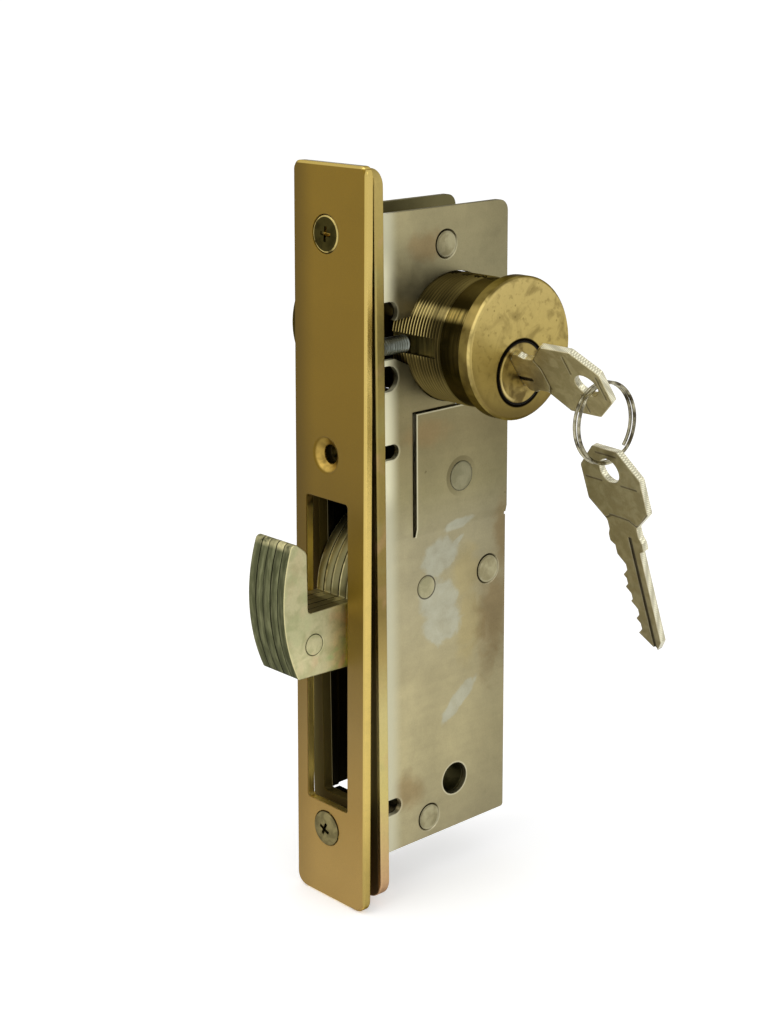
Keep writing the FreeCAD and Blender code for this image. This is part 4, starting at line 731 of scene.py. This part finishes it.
@dataclass(frozen=True)
class AgedBrass:
    """Aged brass cylinder: a dark barrel with a painted highlight band and lit ridges, a stained face shaded
    at its foot.
    """

    dark: Colour = tone(44, 38, 16)
    brown: Colour = tone(72, 62, 30)
    # painted highlight colour for the band, the lit crests and the rims
    rubbed_and_highlight: Colour = tone(236, 212, 134)
    # crest colour; how much of it shows is painted light that follows the angle
    ridge: Colour = tone(150, 130, 78)
    # painted light: a lighter tone for the top and bottom of the barrel
    lit_tone: Colour = tone(104, 92, 50)
    # painted light: a light tone for the set screws' groove, against its shade
    groove: Colour = tone(150, 136, 84)
    # the head's side tones, with a painted highlight band
    rim: Colour = tone(132, 116, 62)
    rim_dark: Colour = tone(98, 84, 44)
    # painted light: the face grows darker towards its foot
    face_down: tuple = ((29.0, tone(82, 70, 40)), (32.0, tone(118, 102, 56)), (38.0, tone(154, 135, 76)),
                        (45.0, tone(176, 156, 92)), (61.0, tone(188, 168, 106)))
    # colour of the face's blots and of the painted shade on its lower rim
    stain_and_shade: Colour = tone(110, 94, 52)
    # dark joint round the plug, and painted shade between the ridges
    gap_and_shade: Colour = tone(16, 13, 7)
    face_x: float = 29.6
    head_x: float = 26.2
    thread_x: float = 3.5
    thread_end: float = 18.8
    pitch: float = 0.9
    hole_radius: float = 7.11

    def barrel(self, s: Shade, out: Num, turn: Num, cloud: Num, turned: Num) -> Socket:
        """Colour of the barrel with its ridges, with painted light and painted shade on them.

        Args:
            s: the shade.
            out: distance from the case's middle plane.
            turn: angle above the front of the barrel, in radians.
            cloud: broad noise.
            turned: noise drawn out round the barrel.

        Returns:
            The colour's socket.
        """
        skin = s.away(PLUG_Y, CYLINDER_Z).ramp(13.9, 14.05)
        # painted light: the groove takes a light tone against its shade
        lit_groove = s.mix(turned.ramp(0.35, 0.65), self.groove, s.tint(self.groove, 0.4))
        wound = out.ramp(self.thread_end, self.thread_end - 0.3) * skin
        step = ((out - self.thread_x) / self.pitch).fraction()
        crest = step.band(0.44, 0.56, 0.12) * wound
        # painted highlight on the crests that face the light
        lit = turn.band(-0.05, 0.6, 0.16) * out.ramp(17.0, 12.0)
        # painted highlight band across the barrel
        highlight_band = turn.band(0.55, 0.6, 0.12) * (0.2 + 0.7 * turned.ramp(0.3, 0.6))
        # painted light: lighter top and bottom, lit crests, and painted shade between the ridges
        return s.coats(
            self.dark, (cloud.ramp(0.4, 0.66) * turned.ramp(0.3, 0.7), self.brown),
            (turn.ramp(0.7, 1.1) * 0.6, self.brown),
            (turn.ramp(0.8, 1.2) * out.ramp(14.0, 20.0) * 0.8, self.lit_tone),
            (turn.ramp(-0.3, -0.7) * 0.5, self.lit_tone),
            ((1.0 - skin) * s.y.ramp(PLUG_Y - 8.0, PLUG_Y - 10.0), lit_groove),
            (crest * (0.05 + 0.12 * turn.ramp(0.8, 0.5) + 0.1 * turn.ramp(-0.3, -0.8)), self.ridge),
            (crest * lit * 0.8, self.rubbed_and_highlight), (step.ramp(0.75, 0.95) * wound * 0.6, self.gap_and_shade),
            (highlight_band * (1.0 - 0.6 * wound), self.rubbed_and_highlight))

    def face(self, s: Shade, cloud: Num) -> Socket:
        """Colour of the stained face with its plug hole, darker towards its foot in painted shade.

        Args:
            s: the shade.
            cloud: broad noise.

        Returns:
            The colour's socket.
        """
        blots, small = s.noise(0.22, 5.0, 0.8, shift=2.0), s.noise(0.7, 4.0, 0.4, shift=6.0)
        # painted shade on the lower rim of the face
        outer = s.away(PLUG_Y, CYLINDER_Z).ramp(13.4, 15.4) * s.z.ramp(CYLINDER_Z + 2.0, CYLINDER_Z - 8.0)
        hole = s.away(PLUG_Y, PLUG_Z).ramp(self.hole_radius + 0.7, self.hole_radius + 0.4)
        return s.coats(
            s.gradient(s.z, 28.0, 62.0, self.face_down),
            (blots.ramp(0.48, 0.68) * (0.25 + 0.3 * s.y.ramp(16.0, 24.0)), self.stain_and_shade),
            (small.ramp(0.54, 0.7) * 0.35, self.stain_and_shade),
            (s.specks(0.5, 0.16) * cloud.ramp(0.45, 0.6) * 0.5, self.rim_dark),
            (outer * 0.6, self.stain_and_shade), (hole, self.gap_and_shade))

    def material(self) -> Material:
        """Build the finish."""
        s = Shade("cylinder_brass")
        out = abs(s.x)
        cloud, fine = s.noise(0.16, 4.0, 0.6), s.noise(1.1, 5.0)
        turned = s.noise(1.6, 3.0, stretch=(1.0, 0.05, 0.05))
        turn = (s.z - CYLINDER_Z).angle(PLUG_Y - s.y)
        # painted highlight along the face's edge on the lit side, with wear
        wear_and_sheen = out.band(28.8, 29.2, 0.2) * turn.band(-0.2, 0.75, 0.25) * (0.3 + 0.7 * cloud.ramp(0.4, 0.6))
        # painted highlight band on the head's side
        rim = s.coats(self.rim_dark, (cloud.ramp(0.36, 0.6), self.rim),
                      (turn.band(0.5, 0.66, 0.14) * 0.6, self.rubbed_and_highlight), (wear_and_sheen * 0.8, self.rubbed_and_highlight))
        # the last coat is painted shade on the far cylinder's front
        colour = s.coats(self.barrel(s, out, turn, cloud, turned),
                         (out.ramp(self.head_x - 0.1, self.head_x + 0.1), rim),
                         (out.ramp(self.face_x - 0.5, self.face_x - 0.15), self.face(s, cloud)),
                         (s.x.ramp(0.0, -2.0) * s.y.ramp(20.0, 14.0) * 0.8, self.dark))
        colour = s.tint(colour, 0.84 + 0.2 * fine + 0.12 * turned)
        rough = 0.34 + 0.12 * fine + 0.3 * turn.ramp(1.1, 1.4) * out.ramp(16.0, 12.0)
        return s.finish(colour, rough, 1.0, fine * 0.6 + turned * 0.5, depth=0.012, edge=0.05, grazing=0.3)


@dataclass(frozen=True)
class PlugBrass:
    """Plug and cam brass: a painted highlight at the front of its rim, black where it meets the cylinder."""

    light: Colour = tone(152, 133, 76)
    brown: Colour = tone(98, 82, 42)
    painted_highlight: Colour = tone(226, 206, 140)
    gap_and_shade: Colour = tone(16, 13, 7)
    radius: float = 7.05

    def material(self) -> Material:
        """Build the finish."""
        s = Shade("plug_brass")
        out = abs(s.x)
        cloud, fine = s.noise(0.3, 4.0, 0.5), s.noise(1.4, 4.0)
        away = s.away(PLUG_Y, PLUG_Z)
        front = (PLUG_Y - s.y) / 6.0
        # painted highlight on the rim's front
        rim = away.band(self.radius - 1.05, self.radius - 0.75, 0.2)
        colour = s.coats(self.brown, (cloud.ramp(0.36, 0.6), self.light),
                         (rim * front.ramp(0.1, 1.0) * 0.85, self.painted_highlight),
                         (away.ramp(self.radius - 0.6, self.radius - 0.3), self.gap_and_shade),
                         (out.ramp(29.3, 28.9) * out.ramp(3.6, 3.8) * 0.8, self.brown))
        return s.finish(s.grained(colour, fine), 0.32 + 0.1 * fine, 1.0, fine, depth=0.01, edge=0.2)


@dataclass(frozen=True)
class KeyNickel:
    """Nickel on a stamped key: cloudy faces, painted shade in its groove, stamped lines, milled rims with
    painted highlight.
    """

    place: KeyPlace
    # painted light: a copy of the key is drawn lighter by this factor
    light_gain: float = 1.0
    face: Colour = tone(156, 147, 115)
    cloud: Colour = tone(172, 164, 132)
    # milled rims, their tones lightened as painted highlight
    rim: Colour = tone(226, 222, 196)
    milled: Colour = tone(180, 175, 150)
    line: Colour = tone(84, 76, 54)
    # painted shade in the blade's groove
    groove: Colour = tone(70, 62, 42)
    half: float = 0.8
    stamped: tuple = ((8.2, 3.3, 8.1, -2.7), (8.1, -2.7, 7.1, -4.7), (7.1, -4.7, 7.3, -5.7),
                      (7.3, -5.7, 11.1, -9.4), (8.1, 2.7, 7.1, 4.7), (7.1, 4.7, 7.3, 5.7),
                      (7.3, 5.7, 11.1, 9.4), (16.7, 8.3, 16.7, 3.2), (16.7, -2.9, 16.7, -7.6),
                      (23.75, 3.1, 23.75, -3.1))

    def stroke(self, reach: Num, height: Num, line: tuple) -> Num:
        """Distance from a stamped line.

        Args:
            reach: coordinate along the key.
            height: coordinate across it.
            line: reach and height of its two ends.

        Returns:
            The distance in millimetres.
        """
        x0, z0, x1, z1 = line
        length = math.hypot(x1 - x0, z1 - z0)
        cx, cz = (x1 - x0) / length, (z1 - z0) / length
        along = (reach - x0) * cx + (height - z0) * cz
        across = (height - z0) * cx - (reach - x0) * cz
        beyond = abs(along - length / 2.0) - length / 2.0
        return (beyond.higher(0.0) ** 2.0 + across ** 2.0) ** 0.5

    def material(self) -> Material:
        """Build the finish."""
        s = Shade("key_nickel_" + self.place.value)
        reach, thick, height = s.axes(s.moved(*self.place.frame()))
        mottled, fine = s.noise(0.35, 5.0, 0.6), s.noise(2.0, 4.0)
        nearest = self.stroke(reach, height, self.stamped[0])
        for line in self.stamped[1:]:
            nearest = nearest.lower(self.stroke(reach, height, line))
        pressed = nearest.ramp(0.32, 0.16)
        on_face = abs(thick).ramp(self.half - 0.16, self.half - 0.06)
        mill = ((reach + height) * 7.5).wave() * ((reach - height) * 6.5 + thick * 3.0).wave()
        teeth = mill.ramp(-0.2, 0.5)
        bow = s.tint(s.mix(mottled.ramp(0.4, 0.64), self.face, self.cloud), self.light_gain)
        bow = s.mix(pressed * 0.7, bow, self.line)
        # painted shade in the blade's groove
        groove = abs(thick).ramp(self.half - 0.1, self.half - 0.3) * (abs(height) - 1.7).ramp(0.75, 0.5)
        colour = s.coats(s.mix(teeth, self.milled, self.rim), (on_face, bow),
                         (groove * reach.ramp(3.8, 3.4) * 0.9, self.groove))
        rise = (1.0 - pressed) + fine * 0.25 + (1.0 - on_face) * teeth * 0.25
        return s.finish(s.grained(colour, fine), 0.3 + 0.12 * mottled, 1.0, rise, depth=0.06, edge=0.15)


@dataclass(frozen=True)
class ScrewBronze:
    """Dark bronze plate on a countersunk screw: painted highlight and glints on the upper, painted shade in
    the recesses.
    """

    light: Colour = tone(128, 118, 80)
    dark: Colour = tone(58, 52, 24)
    # painted shade for the recesses
    recess_shade: Colour = tone(22, 18, 9)
    # painted highlight colour for the rim and the glints
    rubbed_and_highlight: Colour = tone(232, 208, 128)
    top_z: float = 69.9
    radius: float = 4.1

    def material(self) -> Material:
        """Build the finish."""
        s = Shade("screw_bronze")
        cloud, grain = s.noise(0.5, 4.0, 0.4), s.noise(3.0, 3.0)
        light = s.mix(s.z.ramp(0.0, -40.0), self.dark, self.light)
        from_top = (s.x ** 2.0 + (s.z - self.top_z) ** 2.0) ** 0.5
        # painted highlight on the upper head's rim
        rim = from_top.band(self.radius - 0.3, self.radius, 0.15) * cloud.ramp(0.3, 0.55)
        glints = from_top.ramp(3.0, 2.4) * s.noise(0.9, shift=3.0).ramp(0.3, 0.44)
        # painted shade in the recess, with painted glints in the upper one
        recess = s.mix(glints * 0.95, self.recess_shade, self.rubbed_and_highlight)
        colour = s.coats(s.tint(light, 0.6), (cloud.ramp(0.36, 0.62), light), (rim * 0.6, self.rubbed_and_highlight),
                         (s.below_face().ramp(0.15, 0.9) * 0.92, recess))
        return s.finish(s.grained(colour, grain), 0.3 + 0.1 * grain, 1.0, grain,
                        depth=0.008, edge=0.1, grazing=0.5)


@dataclass(frozen=True)
class PlainMetal:
    """A plain worked metal with a soft cloud of tone and a fine grain."""

    name: str
    light: Colour
    dark: Colour
    roughness: float = 0.35
    edge: float = 0.12

    def material(self) -> Material:
        """Build the finish."""
        s = Shade(self.name)
        cloud, grain = s.noise(0.35, 3.0, 0.3), s.noise(3.0, 3.0)
        colour = s.grained(s.mix(cloud.ramp(0.35, 0.65), self.dark, self.light), grain, 0.3)
        rough = self.roughness + 0.12 * (grain - 0.5)
        return s.finish(colour, rough, 1.0, grain, depth=0.008, edge=self.edge)


def link(mesh: BMesh, name: str) -> Object:
    """Turn a bmesh into an object of the scene at the origin."""
    data = bpy.data.meshes.new(name)
    mesh.to_mesh(data)
    mesh.free()
    thing = bpy.data.objects.new(name, data)
    bpy.context.scene.collection.objects.link(thing)
    return thing


def lathe(profile: list, steps: int) -> BMesh:
    """Closed turned shape about Y.

    Args:
        profile: pairs of a radius and a place along Y in millimetres, from axis to axis.
        steps: faces round it.

    Returns:
        The new bmesh in metres.
    """
    mesh = bmesh.new()
    verts = [mesh.verts.new((radius * MM, place * MM, 0.0)) for radius, place in profile]
    edges = [mesh.edges.new(pair) for pair in zip(verts, verts[1:])]
    bmesh.ops.spin(mesh, geom=verts + edges, cent=(0.0, 0.0, 0.0), axis=(0.0, 1.0, 0.0), angle=2.0 * math.pi,
                   steps=steps, use_merge=True)
    bmesh.ops.remove_doubles(mesh, verts=mesh.verts[:], dist=MERGE)
    bmesh.ops.recalc_face_normals(mesh, faces=mesh.faces[:])
    return mesh


def threads(radius: float, root: float, start: float, end: float, pitch: float) -> list:
    """Profile points of a row of thread ridges.

    Args:
        radius: radius over the ridges.
        root: radius between them.
        start: place of the first root.
        end: place that the last root doesn't pass.
        pitch: distance between ridges.

    Returns:
        Pairs of a radius and a place.
    """
    points = [(root, start)]
    for i in range(int((end - start) / pitch)):
        low = start + i * pitch
        points += [(radius, low + 0.4 * pitch), (radius, low + 0.6 * pitch), (root, low + pitch)]
    return points


def carve(thing: Object, cutter: Object) -> None:
    """Cut one closed object out of another and delete it."""
    modifier = thing.modifiers.new("carve", "BOOLEAN")
    modifier.operation = "DIFFERENCE"
    modifier.solver = "EXACT"
    modifier.use_self = True
    modifier.object = cutter
    bpy.context.view_layer.update()
    done = bpy.data.meshes.new_from_object(thing.evaluated_get(bpy.context.evaluated_depsgraph_get()))
    thing.modifiers.clear()
    thing.data = done
    bpy.data.objects.remove(cutter)


def join(things: list, name: str) -> Object:
    """One object from several at the origin, which are deleted."""
    mesh = bmesh.new()
    for thing in things:
        mesh.from_mesh(thing.data)
        bpy.data.objects.remove(thing)
    return link(mesh, name)


def settle(thing: Object, material: Material, slot: str, body: str, *nodes: str) -> None:
    """Finish a new piece and tie it to the frame.

    Args:
        thing: the piece.
        material: its finish.
        slot: the record's material slot; not used.
        body: the body that it moves with.
        nodes: the CAD nodes that it stands for, if any.
    """
    thing.data.materials.clear()
    thing.data.materials.append(material)
    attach(thing, body)
    if nodes:
        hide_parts(*nodes)
    log.info("made %s: %d faces", thing.name, len(thing.data.polygons))


def paint(material: Material, *nodes: str) -> None:
    """Give CAD nodes one material in all their slots."""
    for node in nodes:
        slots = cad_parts[node].data.materials
        if len(slots) == 0:
            slots.append(material)
        for i in range(len(slots)):
            slots[i] = material
        log.info("painted %s with %s", node, material.name)


@dataclass
class PlateScrews:
    """The faceplate's two screws: turned heads with a tapered cross recess, and threads."""

    places: tuple = ((69.9, 0.0, 0.12, 6.0), (-68.45, 0.35, 0.5, 24.0))    # height, proud, dome, cross's turn
    crown: tuple = ((0.0, 1.0), (1.3, 0.9), (2.5, 0.62), (3.5, 0.22))      # radius, share of the dome
    head_radius: float = 4.1
    rim: float = 0.35
    shank: float = 2.0
    root: float = 1.65
    tip: float = 1.2
    length: float = 13.0
    pitch: float = 0.8
    steps: int = 48
    recess_long: float = 4.8
    recess_wide: float = 1.05
    recess_deep: float = 1.7
    taper: Triple = (0.42, 1.0, 0.55)

    def blank(self, dome: float) -> Object:
        """Screw without its recess, its head's rim at the origin and its axis along Y."""
        cone = self.rim + self.head_radius - self.shank
        profile = [(radius, -dome * share) for radius, share in self.crown]
        profile += [(self.head_radius - 0.2, 0.0), (self.head_radius, 0.15), (self.head_radius, self.rim),
                    (self.shank, cone)]
        profile += threads(self.shank, self.root, cone + 0.4, self.length - 0.6, self.pitch)
        profile += [(self.tip, self.length), (0.0, self.length)]
        return link(lathe(profile, self.steps), "plate_screw")

    def cross(self, dome: float) -> Object:
        """Cutter for the cross recess: two bars that taper inwards."""
        mesh = bmesh.new()
        for turn in (0.0, 90.0):
            bar = bmesh.ops.create_cube(mesh, size=1.0)["verts"]
            bmesh.ops.scale(mesh, verts=bar, vec=(self.recess_long, self.recess_deep * 2.0, self.recess_wide))
            inner = [v for v in bar if v.co.y > 0.0]
            bmesh.ops.scale(mesh, verts=inner, vec=self.taper)
            bmesh.ops.rotate(mesh, verts=bar, matrix=Matrix.Rotation(math.radians(turn), 3, "Y"))
            bmesh.ops.translate(mesh, verts=bar, vec=(0.0, -dome, 0.0))
        bmesh.ops.scale(mesh, verts=mesh.verts[:], vec=(MM, MM, MM))
        bmesh.ops.recalc_face_normals(mesh, faces=mesh.faces[:])
        return link(mesh, "cross_cutter")

    def build(self, material: Material) -> None:
        """Make both screws as one piece."""
        screws = []
        for height, proud, dome, turn in self.places:
            screw = self.blank(dome)
            carve(screw, self.cross(dome))
            face = FACE_Y - (FACE_TOP - height) * math.tan(LEAN) - proud
            place = Matrix.Translation(Vector((0.0, face, height)) * MM) @ Matrix.Rotation(-LEAN, 4, "X")
            screw.data.transform(place @ Matrix.Rotation(math.radians(turn), 4, "Y"))
            screws.append(screw)
        settle(join(screws, "plate_screws"), material, "screw_nickel", "case", "faceplate_screws")


@dataclass
class SetScrews:
    """The slotted set screws that lock the two cylinders, with their threads."""

    side_x: float = 7.9
    z: float = 45.1
    front: float = -2.4
    tip: float = 11.3
    radius: float = 2.0
    root: float = 1.68
    pitch: float = 0.72
    steps: int = 40
    bevel: float = 0.45
    slot_wide: float = 0.8
    slot_deep: float = 1.0

    def screw(self, side: int) -> Object:
        """One set screw on the given side of the case's middle."""
        profile = [(0.0, self.front), (self.root - 0.2, self.front)]
        profile += threads(self.radius, self.root, self.front + 0.2, self.tip - self.bevel, self.pitch)
        profile += [(self.root - self.bevel, self.tip), (0.0, self.tip)]
        thing = link(lathe(profile, self.steps), "set_screw")
        mesh = bmesh.new()
        slot = bmesh.ops.create_cube(mesh, size=1.0)["verts"]
        bmesh.ops.scale(mesh, verts=slot,
                        vec=(3.0 * self.radius * MM, 2.0 * self.slot_deep * MM, self.slot_wide * MM))
        bmesh.ops.translate(mesh, verts=slot, vec=(0.0, self.front * MM, 0.0))
        carve(thing, link(mesh, "slot_cutter"))
        thing.data.transform(Matrix.Translation(Vector((side * self.side_x, 0.0, self.z)) * MM))
        return thing

    def build(self, material: Material) -> None:
        """Make both set screws as one piece."""
        both = join([self.screw(1), self.screw(-1)], "set_screws")
        settle(both, material, "blue_zinc", "case", "cylinder_set_screws")


@dataclass
class HoleLiner:
    """Spacer tube round the through hole, between the case's sides."""

    y: float = 25.4
    z: float = -63.1
    bore: float = 3.95
    wall: float = 0.7
    half: float = 7.15
    steps: int = 64

    def rod(self, radius: float, half: float) -> Object:
        """Plain rod along Y about the origin."""
        profile = [(0.0, -half), (radius, -half), (radius, half), (0.0, half)]
        return link(lathe(profile, self.steps), "hole_liner")

    def build(self, material: Material) -> None:
        """Make the tube and set it across the case."""
        tube = self.rod(self.bore + self.wall, self.half)
        carve(tube, self.rod(self.bore, self.half + 1.0))
        place = Matrix.Translation(Vector((0.0, self.y, self.z)) * MM)
        tube.data.transform(place @ Matrix.Rotation(math.pi / 2.0, 4, "Z"))
        settle(tube, material, "pin_steel", "case")


@dataclass
class HookPlates:
    """The hook bolt's stamped plates with their edges rounded over."""

    count: int = 5
    rounding: float = 0.32
    segments: int = 3
    sharp: float = 35.0        # degrees from which an edge is rounded
    flat: float = 0.5          # degrees up to which two faces are one

    def build(self, material: Material) -> None:
        """Make each plate from a merged copy of its solid."""
        for i in range(1, self.count + 1):
            node = "bolt_plate_%d" % i
            mesh = bmesh.new()
            mesh.from_mesh(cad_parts[node].data)
            bmesh.ops.remove_doubles(mesh, verts=mesh.verts[:], dist=MERGE)
            bmesh.ops.dissolve_limit(mesh, angle_limit=math.radians(self.flat), use_dissolve_boundaries=False,
                                     verts=mesh.verts[:], edges=mesh.edges[:])
            rims = [e for e in mesh.edges if len(e.link_faces) == 2
                    and e.calc_face_angle() > math.radians(self.sharp)]
            bmesh.ops.bevel(mesh, geom=rims, offset=self.rounding * MM, offset_type="OFFSET",
                            segments=self.segments, profile=0.5, affect="EDGES", clamp_overlap=True,
                            material=-1)
            bmesh.ops.recalc_face_normals(mesh, faces=mesh.faces[:])
            bmesh.ops.triangulate(mesh, faces=mesh.faces[:])
            settle(link(mesh, "hook_plate_%d" % i), material, "bolt_zinc", "hook_bolt", node)


@dataclass
class Finishes:
    """Every finish of the lock and the CAD nodes that it goes on."""

    case_heads: tuple = ((22.7, 65.8, 2.95), (36.4, -12.6, 3.3), (17.0, -70.6, 3.1))
    pin_heads: tuple = ((16.25, -12.6, 2.6), (26.95, 12.1, 3.6))

    def plan(self) -> tuple:
        """Each finish with the CAD nodes that it goes on."""
        return (
            (GoldPlate(), "faceplate"),
            (YellowZinc(), "front_plate"),
            (CaseZinc(), "case_shell"),
            (HeadZinc("case_heads", self.case_heads, tone(164, 157, 124), tone(140, 132, 100)),
             "case_pillars", "plate_rivets"),
            (HeadZinc("pin_steel", self.pin_heads, tone(168, 162, 128), tone(150, 145, 112), 0.2),
             "bolt_pivot_pin", "lever_pivot_pin"),
            (PlainMetal("dull_steel", tone(120, 114, 84), tone(74, 68, 46), 0.42),
             "bolt_washers", "lever_spacers", "lever_rivets", "drive_pin"),
            # the lever in the case is drawn at half brightness, painted shade
            (YellowZinc("lever_zinc", lit_tone=0.5), "lever_core", "lever_fork_near", "lever_fork_far"),
            (BoltZinc(), "bolt_rivets"),
            (AgedBrass(), "near_cylinder_body", "far_cylinder_body", "near_chamber_caps", "far_chamber_caps"),
            (PlugBrass(), "near_plug", "far_plug", "near_cam", "far_cam"),
            (PlainMetal("cam_screw_zinc", tone(150, 154, 148), tone(104, 108, 100), 0.3),
             "near_cam_screws", "far_cam_screws"),
            (PlainMetal("pin_brass", tone(188, 168, 104), tone(150, 130, 74), 0.3),
             "near_key_pins", "near_driver_pins", "far_key_pins", "far_driver_pins"),
            (PlainMetal("spring_steel", tone(190, 190, 186), tone(150, 150, 146), 0.25),
             "near_pin_springs", "far_pin_springs"),
            # the key in the plug is drawn 1.4 times lighter, painted light
            (KeyNickel(KeyPlace.IN_PLUG, 1.4), "key"),
            (KeyNickel(KeyPlace.ON_RING), "spare_key"),
            (PlainMetal("ring_nickel", tone(172, 166, 140), tone(66, 60, 44), 0.24, 0.05), "key_ring"),
        )

    def dress(self) -> None:
        """Build the finishes and paint the CAD nodes."""
        for finish, *nodes in self.plan():
            paint(finish.material(), *nodes)


@dataclass(frozen=True)
class Lamp:
    """A square soft lamp: the direction it stands in, its size in metres and its power in watts."""

    name: str
    way: Triple
    size: float
    power: float


@dataclass(frozen=True)
class Studio:
    """Plain pale floor, white surroundings, soft lamps and the camera."""

    lens: float = 66.88
    sensor: float = 36.0
    clip: tuple = (0.01, 200.0)
    eye: Triple = (0.31007, -0.27067, 0.12614)
    right: Triple = (0.67462, 0.73811, -0.00888)
    up: Triple = (-0.19984, 0.19421, 0.96039)
    middle: Triple = (0.005, 0.015, 0.0)       # the place that the lamps face
    reach: float = 0.9                         # and how far from it they hang
    lamps: tuple = (Lamp("side_lamp", (0.9, 0.1, 0.55), 0.4, 1.1),
                    Lamp("top_lamp", (-0.1, -0.45, 0.9), 0.4, 1.1),
                    Lamp("front_lamp", (-0.35, -1.0, 0.1), 0.5, 0.5))
    world_light: float = 0.75
    floor_size: float = 40.0
    floor_tone: Colour = (0.93, 0.93, 0.93)
    floor_rough: float = 0.9
    floor_lift: float = 0.32                   # light of its own that it shows to the camera

    def build(self, floor_z: float) -> None:
        """Make floor, world, lamps and camera.

        Args:
            floor_z: height of the floor.
        """
        self.floor(floor_z)
        self.world()
        for lamp in self.lamps:
            self.hang(lamp)
        self.camera()

    def floor(self, floor_z: float) -> None:
        """Large pale floor that shows as white where nothing shades it.

        Args:
            floor_z: its height.
        """
        mesh = bmesh.new()
        bmesh.ops.create_grid(mesh, x_segments=1, y_segments=1, size=self.floor_size,
                              matrix=Matrix.Translation((0.0, 0.0, floor_z)))
        thing = link(mesh, "floor")
        s = Shade("floor_white")
        s.finish(self.floor_tone, self.floor_rough, 0.0)
        s.feed(s.shader.inputs["Emission Color"], WHITE)
        s.feed(s.shader.inputs["Emission Strength"], s.seen() * self.floor_lift)
        thing.data.materials.append(s.material)
        thing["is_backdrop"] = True

    def world(self) -> None:
        """White to the camera and in reflections, softer as light."""
        world = bpy.data.worlds.new("studio_white")
        bpy.context.scene.world = world
        world.use_nodes = True
        tree = Tree(world.node_tree)
        strength = tree.node("ShaderNodeMapRange", {}, {
            "Value": tree.seen(), "To Min": self.world_light, "To Max": 1.0}).outputs["Result"]
        back = tree.node("ShaderNodeBackground", {}, {"Color": WHITE, "Strength": strength})
        tree.node("ShaderNodeOutputWorld", {}, {"Surface": back.outputs[0]})

    def hang(self, lamp: Lamp) -> None:
        """Hang a lamp so that it faces the object."""
        data = bpy.data.lights.new(lamp.name, "AREA")
        data.shape = "SQUARE"
        data.size = lamp.size
        data.energy = lamp.power
        thing = bpy.data.objects.new(lamp.name, data)
        bpy.context.scene.collection.objects.link(thing)
        direction = Vector(lamp.way).normalized()
        thing.location = Vector(self.middle) + direction * self.reach
        thing.rotation_euler = direction.to_track_quat("Z", "Y").to_euler()

    def camera(self) -> None:
        """Camera at the photograph's viewing angle."""
        data = bpy.data.cameras.new("camera")
        data.lens = self.lens
        data.sensor_width = self.sensor
        data.sensor_fit = "AUTO"
        data.clip_start, data.clip_end = self.clip
        thing = bpy.data.objects.new("camera", data)
        bpy.context.scene.collection.objects.link(thing)
        right = Vector(self.right).normalized()
        back = right.cross(Vector(self.up)).normalized()
        up = back.cross(right)
        turn = Matrix((right, up, back)).transposed()
        thing.matrix_world = Matrix.Translation(self.eye) @ turn.to_4x4()
        bpy.context.scene.camera = thing


def main() -> None:
    """Dress the lock, make the pieces that have more shape than their solids, and set the studio round it."""
    logging.basicConfig(level=logging.INFO, format="%(message)s")
    bpy.context.scene.view_settings.view_transform = "Standard"
    cad_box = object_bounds()
    Finishes().dress()
    HookPlates().build(BoltZinc().material())
    PlateScrews().build(ScrewBronze().material())
    blue_zinc = PlainMetal("set_screw_zinc", tone(132, 137, 128), tone(104, 108, 98), 0.3, 0.05)
    SetScrews().build(blue_zinc.material())
    liner_steel = PlainMetal("liner_steel", tone(122, 118, 86), tone(88, 84, 56), 0.36)
    HoleLiner().build(liner_steel.material())
    Studio().build(cad_box[0][2])


if __name__ == "__main__":
    main()
